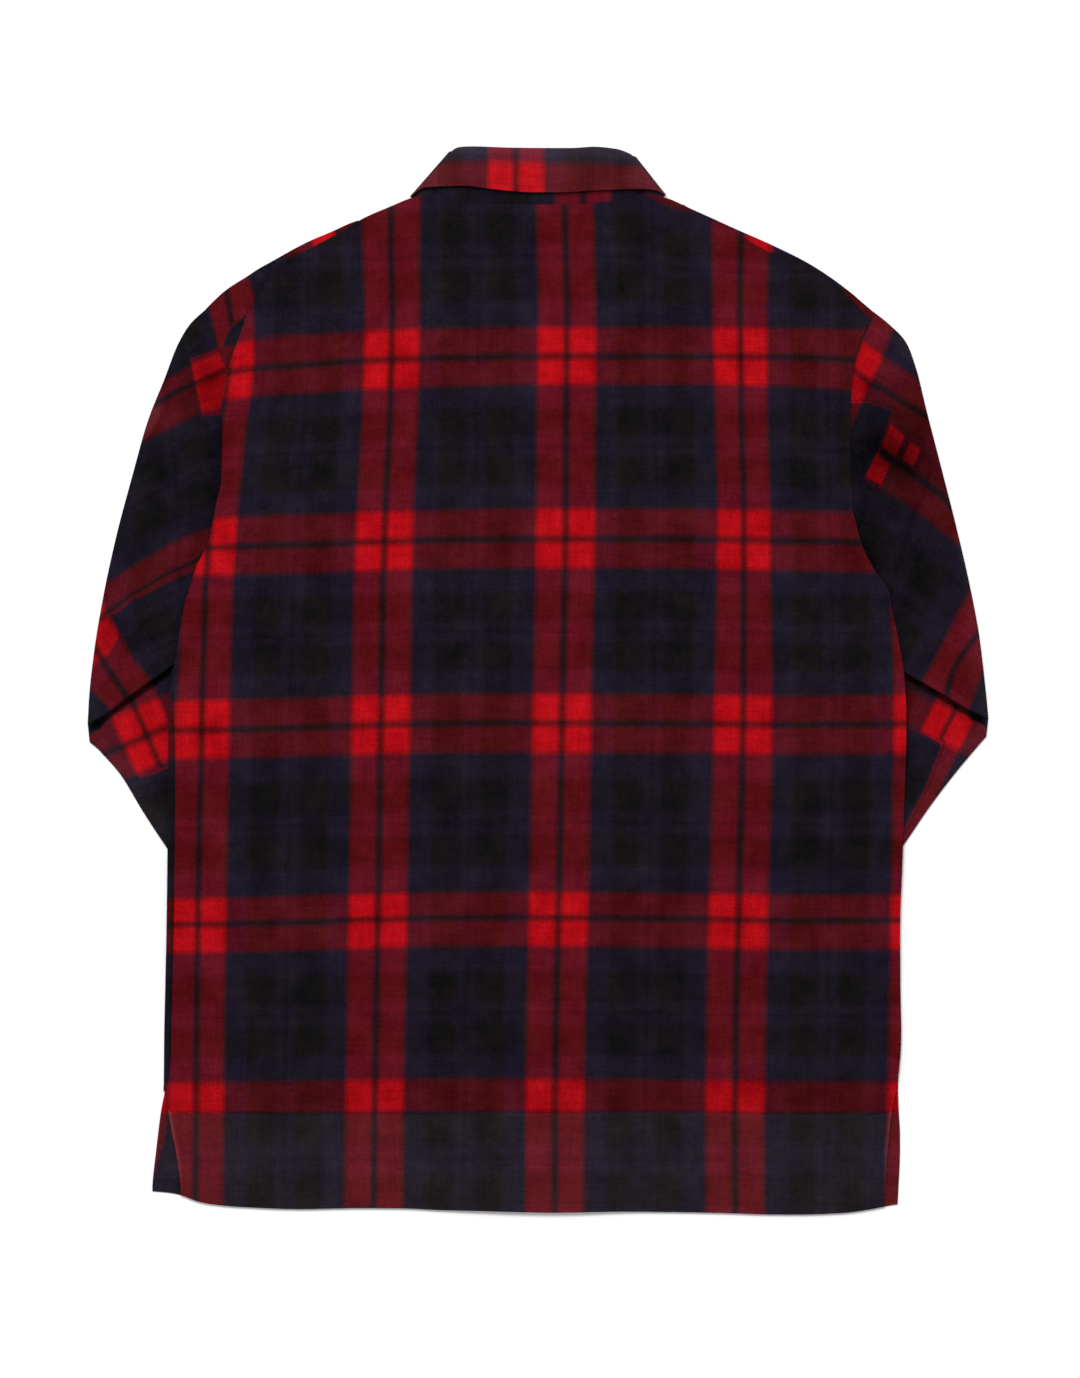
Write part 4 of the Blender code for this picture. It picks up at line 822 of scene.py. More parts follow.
def make_mesh(name, points, faces, material, check=None):
    """Puts points in millimetres and faces into a new object at the origin."""
    mesh = bpy.data.meshes.new(name)
    mesh.from_pydata((np.asarray(points) * MM).tolist(), [], [tuple(f) for f in faces])
    if check is not None:
        layer = mesh.uv_layers.new(name="weave")
        layer.data.foreach_set("uv", np.asarray(check, dtype=np.float32).ravel())
    mesh.validate()
    mesh.shade_smooth()
    mesh.set_sharp_from_angle(angle=math.radians(50.0))
    piece = bpy.data.objects.new(name, mesh)
    bpy.context.scene.collection.objects.link(piece)
    piece.data.materials.append(material)
    return piece


def shell(name, points, grids, material, thickness=CLOTH, wear_and_painted_light=None):
    """A closed sheet of cloth from its middle surface, which is one or more grids of point
    numbers, each with its check's count. Each point goes half the thickness to both sides along
    its normal, which is the sum of the cross products of the diagonals of the faces round it, and
    a rim joins both sides along every open edge. The wear and painted light, real rubbing
    together with painted shade and painted sheen, are given for each point."""
    points = points.reshape(-1, 3)
    faces, check = (np.concatenate([cells(grid) for grid in kind]) for kind in zip(*grids))
    thickness = np.ravel(thickness)
    corners = points[faces]
    turned = np.cross(corners[:, 2] - corners[:, 0], corners[:, 3] - corners[:, 1])
    normals = np.zeros_like(points)
    for k in range(4):
        np.add.at(normals, faces[:, k], turned)
    normals = unit(normals)
    half = np.broadcast_to(thickness / 2, (len(points),))[:, None]
    count = len(points)
    starts, ends = faces.ravel(), np.roll(faces, -1, axis=1).ravel()
    is_open = ~np.isin(starts * count + ends, ends * count + starts)
    a, b = starts[is_open], ends[is_open]
    check_a = check.reshape(-1, 2)[is_open]
    check_b = np.roll(check, -1, axis=1).reshape(-1, 2)[is_open]
    rim = np.stack([b, a, a + count, b + count], axis=1)
    rim_check = np.stack([check_b, check_a, check_a, check_b], axis=1)
    piece = make_mesh(name, np.vstack([points + normals * half, points - normals * half]),
                      np.vstack([faces, faces[:, ::-1] + count, rim]), material,
                      np.concatenate([check, check[:, ::-1], rim_check]))
    if wear_and_painted_light is not None:
        layer = piece.data.attributes.new("wear_and_painted_light", "FLOAT", "POINT")
        layer.data.foreach_set("value", np.tile(np.ravel(wear_and_painted_light), 2).astype(np.float32))
    return piece


# ---------------------------------------------------------------- shapes on the table

def mirrored(side, row):
    """A row of out_x, out_y, in_x, in_y as two points on one side of the shirt."""
    return np.array([side * row[0], row[1]]), np.array([side * row[2], row[3]])


def cuff_rows(side):
    """Outer and inner edge of the cuff at its seam, at two places on its way and at its end."""
    before, _ = mirrored(side, FOREARM[side][-2])
    seam, inner_seam = mirrored(side, FOREARM[side][-1])
    ahead = (seam - before) / np.linalg.norm(seam - before)
    start = 2.0 * SEAM * ahead
    return [(seam + start + ahead * CUFF_LENGTH * f, inner_seam + start + ahead * CUFF_LENGTH * f)
            for f in (0.0, 0.33, 0.67, 1.0)]


def tucked(side):
    """Outline of what lies under one front: the forearm, the cuff and the pleat."""
    outer = [mirrored(side, row)[0] for row in FOREARM[side]]
    inner = [mirrored(side, row)[1] for row in FOREARM[side]]
    upper = [mirrored(side, row)[1] for row in UPPER[side]]
    cuff = cuff_rows(side)
    return ([ARMHOLE[side][-1]] + upper + [mirrored(side, LIP[side])[1]] + inner
            + [cuff[-1][1], cuff[-1][0]] + outer[::-1])


def lip_directions(side):
    """Start and length of the lip's line, its direction inwards, and the way down and outwards
    in which the pleat's layers run."""
    outer, inner = mirrored(side, LIP[side])
    length = np.linalg.norm(inner - outer)
    inwards = (inner - outer) / length
    return outer, length, inwards, np.array([inwards[1] * side, -abs(inwards[0])])


def pleat(side):
    """Outline of the threefold stack at the elbow."""
    outer, length, inwards, forward = lip_directions(side)
    depth = PLEAT_DEEPENS * length - PLEAT_ADVANCE
    begins = outer + inwards * PLEAT_ADVANCE / PLEAT_DEEPENS
    ends = outer + inwards * length
    return [begins, ends, ends - forward * depth]


def leaf_front(side):
    """Outline of the collar leaf's front half."""
    return [(side * LEAF_OPENING, STAND_FRONT_TOP + 6.0), (side * STAND_SIDE, STAND_TOP + 4.0),
            (side * LEAF_SIDE, LEAF_EDGE[0][1]), (side * POINT_ACROSS, POINT_HEIGHT)]


def cuff_button_place(side):
    """Middle of the cuff button, on the cuff's upper face."""
    outer, inner = cuff_rows(side)[1]
    return outer * 0.7 + inner * 0.3


def button_patch(side):
    """Outline of what the cuff button lifts, a square round it."""
    x, y = cuff_button_place(side)
    return [(x + BUTTON_PATCH * a, y + BUTTON_PATCH * b)
            for a, b in ((-1, -1), (1, -1), (1, 1), (-1, 1))]


# ---------------------------------------------------------------- heights of the panels

def sunk(y):
    """How far the centre front comes down to the table below its last button."""
    return (BUTTON_THICK - 0.1) * smooth((SINKS_FROM - y) / SINKS_OVER)


def front_low(x, y, centre_low):
    """Height of a front's underside: level on the table, and up over what it covers."""
    beside_centre = np.abs(x) - CENTRE_ZONE
    low = (centre_low - sunk(y)) * smooth(1.0 - beside_centre / (CELL + FALL))
    for side in (-1, +1):
        over_sleeve = PITCH * cover(x, y, tucked(side))
        over_pleat = ELBOW_RISE * cover(x, y, pleat(side), fall=PLEAT_FALL)
        over_cuff = (CUFF_HALF * 2 + CUFF_CLOTH + CUFF_BUTTON_THICK + 2 * SEAM) * cover(
            x, y, button_patch(side), reach=BUTTON_REACH)
        over_leaf = COLLAR_LOW * cover(x, y, leaf_front(side))
        low = np.maximum.reduce([low, over_sleeve + over_pleat, over_cuff, over_leaf])
    return low


def back_low(x, y):
    """Height of the back's underside: over both fronts and their turned edges, with air between
    them, and over the sleeves."""
    sides = [row for row in SIDES if SEWN_SIDES[0] < row[0] < SEWN_SIDES[1]]
    left = [(-row[1], row[0]) for row in sides]
    left += [row[:2] for row in SHOULDERS if row[0] < -SEWN_SHOULDERS]
    right = [(row[2], row[0]) for row in sides]
    right += [row[:2] for row in SHOULDERS[::-1] if row[0] > SEWN_SHOULDERS]
    from_seam = np.minimum(distance(x, y, left, closed=False), distance(x, y, right, closed=False))
    air = LOFT * smooth(from_seam / LOFT_RUN)
    air = air * smooth((y - LOFT_HEM[0]) / LOFT_HEM[1])
    air = air * (1.0 - 0.5 * smooth((y - LOFT_TOP[0]) / LOFT_TOP[1]))
    fold_line = curve(SHOULDERS, 2)
    strip = [(row[0] + FLAP_INSET, fold_line(row[0])) for row in SHOULDER_SEAM]
    strip += [row[1:] for row in SHOULDER_SEAM[::-1]]
    over = [air, (FLAP_RISE + SEAM) * cover(x, y, strip)]
    shoulder = [(row[0], fold_line(row[0])) for row in RIGHT_STRIP[1:]]
    rolled = [(-curve(SIDES, 3)(row[0]), row[0]) for row in ROLL]
    for line, rise in ((shoulder, STRIP_RISE), (rolled, ROLL_RISE)):
        over.append((rise + 0.1) * cover(x, y, line, EDGE_REACH, EDGE_FALL, closed=False))
    low = front_low(x, y, FRONT_RIGHT_LOW) + CLOTH + SEAM + np.maximum.reduce(over)
    for side in (-1, +1):
        sleeve = [mirrored(side, row)[0] for row in UPPER[side]] + ARMHOLE[side][::-1]
        low = np.maximum(low, (TUBE + 2 * SEAM) * cover(x, y, sleeve)
                         + ELBOW_RISE * cover(x, y, pleat(side), fall=PLEAT_FALL))
    return low


# ---------------------------------------------------------------- body panels

def side_edge(cloth, side):
    """Distance of a panel's side from the centre line at each height. The back stops short of the
    left front's rolled edge, and laps over the start of each sleeve."""
    line = curve(SIDES, (1 if cloth == "back" else 3) + (side > 0))
    if cloth == "front":
        return line
    rolled = curve(ROLL, 1)

    def at(y):
        lap = ARMHOLE_LAP * smooth((y - LAP_FOOT[0]) / LAP_FOOT[1]) * smooth(
            (LAP_TOP[0] - y) / LAP_TOP[1])
        return line(y) + lap - (rolled(y) - ROLL_LAP if side < 0 else 0.0)
    return at


def top_edge(cloth, side):
    """Height of a panel's shoulder and neckline at each place across. On the right the back stops
    short of the front's turned edge."""
    line = curve(SHOULDERS, 1 if cloth == "back" else 2)
    if cloth == "front":
        right, right_at, right_run = RIGHT_LOWER
        left, left_at, left_run = LEFT_LOWER
        return lambda x: line(x) - np.where(
            x > 0, right * smooth((x - right_at) / right_run),
            left * smooth((x - left_at) / left_run) * (x < -NECK_SIDE))
    if side < 0:
        return line
    strip = curve(RIGHT_STRIP, 1)
    return lambda x: line(x) - np.where(
        x > RIGHT_STRIP[0][0], (strip(x) - STRIP_END_LAP) * STRIP_SLANT, 0.0)


def half_grid(side, cloth, inner, columns):
    """Places of one half of a panel, row by row from the hem to the shoulder and column by
    column from the side to the line x = inner. Along a row x runs evenly from the side to that
    line, along a column y runs evenly from hem to chest and from chest to shoulder."""
    edge = side_edge(cloth, side)
    top = top_edge(cloth, side)
    hem = curve(HEM, 1)
    u = np.linspace(0.0, 1.0, columns)[None, :] ** (FRONT_CROWD if cloth == "front" else 1.0)
    row = np.arange(BODY_ROWS + SHOULDER_ROWS + 1)[:, None]
    lower = np.minimum(row / BODY_ROWS, 1.0)
    upper = np.maximum(row - BODY_ROWS, 0) / SHOULDER_ROWS
    y = np.linspace(*GRID_START, len(row))[:, None] + 0.0 * u
    for _ in range(GRID_PASSES):
        x = side * edge(y) * (1.0 - u) + inner * u
        y = hem(x) + (CHEST_LEVEL - hem(x)) * lower + (top(x) - CHEST_LEVEL) * upper
    return x, y


def turned_edge(fold, inward, width, radius, steps, parts):
    """Rows of an edge that turns over: a half circle of the radius up from the fold, then level
    for the width in the given number of parts."""
    rows = []
    for step in range(1, steps + 1):
        angle = math.pi * step / steps
        place = fold[:, :2] - inward * radius * math.sin(angle)
        rows.append(np.column_stack([place, fold[:, 2] + radius * (1 - math.cos(angle))]))
    for part in range(1, parts + 1):
        rows.append(np.column_stack([fold[:, :2] + inward * width[:, None] * part / parts,
                                     fold[:, 2] + 2 * radius]))
    return np.array(rows)


def back_shape():
    """Middle surface of the back and its thickness."""
    left = half_grid(-1, "back", 0.0, BACK_COLUMNS + 1)
    right = half_grid(+1, "back", 0.0, BACK_COLUMNS + 1)
    x = np.hstack([left[0], right[0][:, -2::-1]])
    y = np.hstack([left[1], right[1][:, -2::-1]])
    above_hem = y - curve(HEM, 1)(x)
    in_hem = smooth((HEM_DEPTH - above_hem) / HEM_STEP)
    thickness = CLOTH + (HEM_CLOTH - CLOTH) * in_hem
    groove = HEM_GROOVE * np.exp(-((above_hem - HEM_SEAM) / 1.0) ** 2)
    puckers = PUCKER[0] * np.exp(-((above_hem - HEM_PUCKER) / PUCKER[1]) ** 2) * (
        1.0 + np.sin(x * PUCKER_WAVE + 2.0 * np.sin(x * PUCKER_DRIFT)))
    z = settled(back_low(x, y), 6) + thickness / 2 + swells(x, y, BACK_SWELLS) + puckers
    return np.stack([x, y, z - groove * 0.5], axis=-1), thickness - groove * GROOVE_SHARE


def hem_wear(y):
    """The body is a little darker along its last stripe, and rubbed pale below it."""
    below = smooth((BAND_END[0] - y) / BAND_END[1])
    band = smooth((BAND_START[0] - y) / BAND_START[1]) * (1.0 - below)
    return HEM_WEAR * below - BAND_WEAR * band


def make_back(material):
    """One panel from side to side. Its height is its underside's over what it covers and half its
    thickness, with soft swells, and a hem twice folded with small puckers."""
    grid, thickness = back_shape()
    x, y = grid[..., 0], grid[..., 1]
    check = np.stack([warp_count(BACK_WARP, x, y), weft_count(BACK_WEFT, x, y)], axis=-1)
    # Rubbed hem, and a painted highlight along the vents' edges.
    from_side = np.minimum(np.abs(x - x[:, :1]), np.abs(x - x[:, -1:]))
    along_vent = (y < VENT_TOP) & (from_side < 1.0)
    wear_and_painted_light = hem_wear(y) + RIM_HIGHLIGHT * along_vent * smooth((y - VENT_HIGHLIGHT_FADE[0]) / VENT_HIGHLIGHT_FADE[1])
    return shell("back_panel", grid, [(numbered(*x.shape), check)], material, thickness, wear_and_painted_light)


def make_front_right(material):
    """The right front. Its height is its underside's over what it covers, and along the shoulder
    its edge turns over onto the back's side."""
    half = half_grid(+1, "front", -OVERLAP, FRONT_COLUMNS + 1)
    x, y = half[0][:, ::-1], half[1][:, ::-1]
    z = settled(front_low(x, y, FRONT_RIGHT_LOW), 4) + CLOTH / 2
    grid, index = np.stack([x, y, z], axis=-1), numbered(*x.shape)
    check = np.stack([(x - FRONT_RIGHT_STRIPE) / WARP_REPEAT, weft_count(BACK_WEFT, x, y)], axis=-1)
    first = int(np.sum(x[-1] < RIGHT_STRIP[0][0]))
    fold = grid[-1, first:]
    width = curve(RIGHT_STRIP, 1)(fold[:, 0]) + EDGE_TUCK * smooth(
        (fold[:, 0] - RIGHT_TUCK[0]) / RIGHT_TUCK[1])
    inward = np.zeros((len(fold), 2)) + STRIP_INWARD
    strip = turned_edge(fold, inward, width, STRIP_RISE / 2, FOLD_STEPS, RIGHT_STRIP_PARTS)
    outer = np.abs(fold[:, 0] - fold[-1, 0])[None, :]
    lapped = smooth(np.arange(1, len(strip) + 1) / FOLD_STEPS)[:, None]
    for axis, (most, run) in ((0, RIGHT_STRIP_OUT), (2, RIGHT_STRIP_LIFT)):
        strip[..., axis] += most * lapped * smooth(1.0 - outer / run)
    points = np.vstack([grid.reshape(-1, 3), strip.reshape(-1, 3)])
    edge = np.vstack([index[-1:, first:], numbered(len(strip), len(fold), index.size)])
    edge_x = points[edge, 0]
    edge_check = np.stack([(edge_x - RIGHT_STRIP_STRIPE) / WARP_REPEAT,
                           through(EDGE_WEFT, edge_x)], axis=-1)
    return shell("front_right_panel", points, [(index, check), (edge, edge_check)], material,
                 wear_and_painted_light=hem_wear(points[:, 1]))


def strip_count(x, y):
    """Check on the left shoulder's strip and on the cloth behind its crease, and where that is."""
    drop, place, over = STRIP_STEP
    weft = STRIP_WEFT[0] - y * STRIP_WEFT[1] - drop * smooth((x - place) / over)
    strip = np.stack([warp_count(STRIP_WARP, x, y), weft], axis=-1)
    behind = np.stack([BEHIND_WARP[0] + (x - BEHIND_WARP[1]) / WARP_REPEAT,
                       BEHIND_WEFT[0] + (BEHIND_WEFT[1] - y) * BEHIND_WEFT[2]], axis=-1)
    crease = np.array(CREASE)
    is_behind = (x > np.interp(y, crease[:, 0], crease[:, 1])) & (y < crease[-1, 0])
    return np.where(is_behind[..., None], behind, strip), is_behind


def make_front_left(material):
    """The left front. Its shoulder folds over and comes down on the back's side, and its side
    edge rolls over as far as the back's. Both folds are half circles, and run on level."""
    x, y = half_grid(-1, "front", OVERLAP, FRONT_COLUMNS + 1)
    z = settled(front_low(x, y, FRONT_LEFT_LOW), 4) + CLOTH / 2
    grid, index = np.stack([x, y, z], axis=-1), numbered(*x.shape)
    check = np.stack([warp_count(VENT_WARP, x, y), weft_count(BACK_WEFT, x, y)], axis=-1)

    count = int(np.sum(x[-1] < FLAP_END))
    fold = grid[-1, :count]
    seam = np.stack([curve(SHOULDER_SEAM, k)(fold[:, 0]) for k in (1, 2)], axis=1)
    width = np.linalg.norm(seam - fold[:, :2], axis=1)
    inward = (seam - fold[:, :2]) / width[:, None]
    strip = turned_edge(fold, inward, width + FLAP_TUCK, FLAP_RISE / 2, FOLD_STEPS, FLAP_PARTS)
    armhole = np.array(ARMHOLE[-1][::-1])
    row = np.arange(1, len(strip) + 1)
    lapped = smooth(row / FOLD_STEPS) * smooth((len(strip) - row) / FLAP_RELEASE)
    target = np.interp(strip[:, 0, 1], armhole[:, 1], armhole[:, 0])
    target = target + 3 * SEAM - STRIP_LAP * lapped
    reach = (target - strip[:, 0, 0])[:, None] * smooth(row / FOLD_STEPS)[:, None]
    outer = np.abs(fold[:, 0] - fold[0, 0])[None, :]
    strip[..., 0] += reach * smooth(1.0 - outer / FLAP_REACH)
    strip[..., 2] += STRIP_LIFT * lapped[:, None] * smooth(1.0 - outer / FLAP_LIFT_RUN)
    whole = np.concatenate([fold[None], strip])
    flap_check, is_behind = strip_count(whole[..., 0], whole[..., 1])
    strip[..., 2] -= BEHIND_DROP * settled(is_behind.astype(float), 1)[1:]
    flap = np.vstack([index[-1:, :count], numbered(len(strip), count, index.size)])

    rolled = np.flatnonzero((y[:, 0] > ROLL[0][0]) & (y[:, 0] < ROLL[-1][0]))
    fold = grid[rolled, 0]
    width = curve(ROLL, 1)(fold[:, 1]) + EDGE_TUCK
    inward = np.zeros((len(fold), 2)) + (1.0, 0.0)
    roll = turned_edge(fold, inward, width, ROLL_RISE / 2, FOLD_STEPS, 4)
    edge = np.vstack([index[rolled, 0], numbered(*roll.shape[:2], flap.max() + 1)])[:, ::-1]
    points = np.vstack([part.reshape(-1, 3) for part in (grid, strip, roll)])
    edge_x, edge_y = points[edge, 0], points[edge, 1]
    edge_check = np.stack([ROLL_WARP[0] + (edge_x - ROLL_WARP[1]) / WARP_REPEAT,
                           weft_count(BACK_WEFT, edge_x, edge_y)], axis=-1)
    return shell("front_left_panel", points,
                 [(index, check), (flap, flap_check), (edge, edge_check)], material,
                 wear_and_painted_light=hem_wear(points[:, 1]))


def make_placket(material):
    """Buttonhole band on the outside of the left front, from the hem to the neckline: level, and
    pressed a little thinner along both seams."""
    u = np.linspace(-1.0, 1.0, PLACKET_POINTS[0])[None, :]
    share = np.linspace(0.0, 1.0, PLACKET_POINTS[1])[:, None]
    x = OVERLAP * u + 0.0 * share
    y = curve(HEM, 1)(x) * (1 - share) + (curve(SHOULDERS, 2)(0.0) - SEAM) * share
    z = 0.0 * x + PLACKET_LOW + CLOTH / 2 - sunk(y)
    sewn = PLACKET_PRESS[0] * np.exp(-((np.abs(x) - PLACKET_SEAM) / PLACKET_PRESS[1]) ** 2)
    check = np.stack([(x + y) / WARP_REPEAT * BIAS, (y - x) / WEFT_REPEAT * BIAS], axis=-1)
    return shell("placket_band", np.stack([x, y, z], axis=-1), [(numbered(*x.shape), check)],
                 material, CLOTH - 2 * sewn)


# ---------------------------------------------------------------- sleeves and cuffs

def tube_shape(ribbon, normals, half, puff=0.0):
    """A flattened tube round a ribbon of rows. Its top lies half from the ribbon along its normals
    and its underside half the other way, and a half circle closes each edge. The ring starts and
    ends at the inner edge."""
    across = unit(ribbon[:, -1] - ribbon[:, 0])
    angles = math.pi * np.arange(1, EDGE_STEPS) / EDGE_STEPS
    top = ribbon + normals * (half + np.asarray(puff)[..., None])
    low = ribbon - normals * half
    inner = [ribbon[:, -1] - (normals[:, -1] * math.cos(a) - across * math.sin(a)) * half
             for a in angles]
    outer = [ribbon[:, 0] + (normals[:, 0] * math.cos(a) - across * math.sin(a)) * half
             for a in angles]
    return np.concatenate([top[:, ::-1], np.stack(outer, axis=1), low,
                           np.stack(inner, axis=1)], axis=1)


def tube_check(check, half):
    """The check's count round a tube. The underside's warp count is the top's mirrored about the
    outer fold, and each edge carries the count on by its length."""
    edge = math.pi * half / WARP_REPEAT
    way = np.sign(check[:, :1, 0] - check[:, -1:, 0])
    share = np.arange(1, EDGE_STEPS)[None, :] / EDGE_STEPS
    fold = check[:, :1, 0]
    under = 2 * fold - check[..., 0] + edge * way
    warp = np.concatenate([check[:, ::-1, 0], fold + edge * way * share, under,
                           under[:, -1:] + edge * way * share, under[:, -1:] + edge * way], axis=1)
    steps = EDGE_STEPS - 1
    weft = np.concatenate([check[:, ::-1, 1], np.repeat(check[:, :1, 1], steps, axis=1),
                           check[..., 1], np.repeat(check[:, -1:, 1], steps + 1, axis=1)], axis=1)
    return np.stack([warp, weft], axis=-1)


def ribbon_row(outer, inner, bend=None):
    """Places across the sleeve at table level, the ends drawn in by the tube's edge."""
    f = np.linspace(0.0, 1.0, ACROSS + 1)[:, None]
    edge = TUBE / 2 / np.linalg.norm(inner - outer)
    place = outer + (inner - outer) * (edge + (1 - 2 * edge) * f)
    if bend is not None:
        place = place + bend
    return np.column_stack([place, np.full(ACROSS + 1, TUBE / 2)])


def pleat_rise(side, row):
    """Height of the lip over the table along its row, and distance along it."""
    run = np.linalg.norm(row[:, :2] - mirrored(side, LIP[side])[0], axis=1)
    return ELBOW_RISE * smooth((run - run[0]) / PLEAT_RISE_RUN), run


def pleat_rows(side):
    """The rows through the elbow pleat and their normals. Seen from its side the ribbon turns
    down through an angle, runs straight, and turns back, and both turns have a radius of half
    the pitch. Where the pleat laps, the angle is a half turn."""
    forward = lip_directions(side)[3]
    place = ribbon_row(*mirrored(side, LIP[side]))
    drop, run = pleat_rise(side, place)
    fold_way = np.array([side * OUTER_FOLD_WAY[0], OUTER_FOLD_WAY[1]])
    share = smooth(run / PLEAT_TURN_RUN)[:, None]
    ahead = unit(fold_way * (1 - share) + forward * share)
    radius = PITCH / 2
    advance = PLEAT_ADVANCE - PLEAT_DEEPENS * run
    forwards = np.maximum(advance, 0.0)
    centres = np.hypot(forwards, drop - 2 * radius)
    turn = np.arctan2(drop - 2 * radius, forwards) + np.arcsin(
        np.minimum(2 * radius / np.maximum(centres, 1e-6), 1.0))
    straight = np.sqrt(np.maximum(centres ** 2 - 4 * radius ** 2, 0.0)) + np.maximum(-advance, 0.0)
    arc = radius * turn
    whole = 2 * arc + straight
    sharp = smooth(turn / SHARP_TURN)
    rows, normals = [], []
    level_steps = 6
    steps = 2 * FOLD_STEPS + level_steps
    for step in range(steps + 1):
        if step <= FOLD_STEPS:
            folded = arc * step / FOLD_STEPS
        elif step <= FOLD_STEPS + level_steps:
            folded = arc + straight * (step - FOLD_STEPS) / level_steps
        else:
            folded = arc + straight + arc * (step - FOLD_STEPS - level_steps) / FOLD_STEPS
        gone = folded * sharp + whole * step / steps * (1 - sharp)
        down = np.minimum(gone, arc) / radius
        level = np.clip(gone - arc, 0.0, straight)
        up = np.maximum(gone - arc - straight, 0.0) / radius
        heading = down - up
        s = (radius * np.sin(down) + level * np.cos(turn)
             + radius * (np.sin(turn) - np.sin(turn - up)))
        fall = (radius * (1 - np.cos(down)) + level * np.sin(turn)
                + radius * (np.cos(turn - up) - np.cos(turn)))
        row = place.copy()
        row[:, :2] += ahead * s[:, None]
        row[:, 2] += drop - fall
        rows.append(row)
        normals.append(np.column_stack([ahead * np.sin(heading)[:, None], np.cos(heading)]))
    return rows, normals


def table_rows(table, count):
    """Rows between those of a table, along smooth curves through each of its columns."""
    knots = [(float(k), *row) for k, row in enumerate(table)]
    place = np.linspace(0.0, len(table) - 1.0, count)
    return place, np.stack([curve(knots, k)(place) for k in range(1, len(knots[0]))], axis=1)


def sleeve_ribbon(side):
    """Middle plane of one sleeve from the armhole, over the elbow pleat, to the cuff seam, its
    normals, and the numbers of rows above the pleat and in it."""
    armhole = along(ARMHOLE[side], ACROSS + 1)
    chord = along([ARMHOLE[side][0], ARMHOLE[side][-1]], ACROSS + 1)
    away = -side * 2.0 * SEAM
    first = (side * (chord[0][0] + away), chord[0][1],
             side * (chord[-1][0] + away), chord[-1][1], 1.0)
    place, table = table_rows([first] + UPPER[side] + [LIP[side] + (0.0,)], UPPER_ROWS + 1)
    rows = []
    lip_rise = pleat_rise(side, ribbon_row(*mirrored(side, LIP[side])))[0]
    for at, row in zip(place[:-1], table[:-1]):
        ribbon = ribbon_row(*mirrored(side, row), (armhole - chord) * row[4])
        lift = cover(ribbon[:, 0], ribbon[:, 1], pleat(side), PLEAT_REACH, SLEEVE_FALL)
        outside = np.linalg.norm(ribbon[:, :2] - ribbon[:1, :2], axis=1)
        rise = ELBOW_RISE * lift * smooth(outside / PLEAT_RISE_RUN)
        near = smooth((at - (place[-1] - LIP_NEAR)) / LIP_NEAR)
        ribbon[:, 2] += np.maximum(rise, lip_rise * near)
        rows.append(ribbon)
    up = np.tile(UP, (ACROSS + 1, 1))
    folded, turned = pleat_rows(side)
    forearm = [ribbon_row(*mirrored(side, row)) for row in
               table_rows(FOREARM[side], FOREARM_ROWS)[1]]
    forearm = [folded[-1] * (1 - f) + forearm[0] * f
               for f in np.linspace(0.0, 1.0, LEAD_ROWS + 2)[1:-1]] + forearm
    normals = [up] * len(rows) + turned + [up] * len(forearm)
    return np.array(rows + folded + forearm), np.array(normals), len(rows), len(folded)


def sleeve_top(side):
    """The sleeve's ribbon, with the puff of its top wall and the painted light on it. It puffs up
    in soft swells outside the body, bulges below the lip, and lies flat where it is sewn, folded or
    covered. Painted shade darkens parts of the upper sleeve and a band just below the lip, painted
    sheen lightens the outer fold, and a few streaks are paler."""
    ribbon, normals, above, folded = sleeve_ribbon(side)
    x, y = ribbon[..., 0], ribbon[..., 1]
    line = curve(SIDES, 1 if side < 0 else 2)(y)
    puff = swells(x, y, SLEEVE_SWELLS[side]) * smooth((np.abs(x) - line - 3.0) / 22.0)
    row = np.arange(len(ribbon))[:, None]
    puff = puff * smooth(row / 14.0) * (1.0 - smooth((row - above + 6.0) / 6.0)
                                        + smooth((row - above - folded - LEAD_ROWS) / 6.0))
    outer, _, inwards, _ = lip_directions(side)
    before = (outer[0] - x) * side * inwards[1] - (y - outer[1]) * abs(inwards[0])
    inside = (x - outer[0]) * inwards[0] + (y - outer[1]) * inwards[1]
    past = before - RIDGE_PLACE
    ridge = RIDGE * np.exp(-(past / np.where(past < 0, RIDGE_NEAR, RIDGE_FAR)) ** 2)
    ridge = ridge * smooth(inside / PLEAT_RISE_RUN)
    uncovered = smooth((np.abs(x) - line + 2.0) / 10.0)
    puff = np.where(row >= above + folded, puff + ridge * uncovered, puff)
    column = np.arange(ACROSS + 1)[None, :]
    puff = puff * smooth(column / 4.0) * smooth((ACROSS - column) / 4.0)
    # Painted shadow just below the elbow's lip: a band from the lip's round edge, LIP_SHADE wide,
    # on the pleat and forearm.
    shade = smooth(before - LIP_EDGE) * smooth((LIP_EDGE + LIP_SHADE - before) / 2.2)
    shade = np.where(row >= above, shade * smooth((inside + 2.0) / 8.0), 0.0)
    # Painted shade and paler streaks from the sleeve's table, with painted sheen along the outer
    # fold; below the lip only the lighter part stays, and the lip's painted shadow is taken off.
    from_fold = np.linalg.norm(ribbon[..., :2] - ribbon[:, :1, :2], axis=2)
    wear_and_painted_light = swells(x, y, SLEEVE_SHADE_AND_STREAKS[side]) + EDGE_SHEEN * np.exp(
        -(from_fold / EDGE_RUN) ** 2) * (1.0 - shade)
    wear_and_painted_light = np.where(row <= above, wear_and_painted_light, np.maximum(wear_and_painted_light, 0.0)) - LIP_DARK * shade
    return ribbon, normals, above, folded, puff, wear_and_painted_light


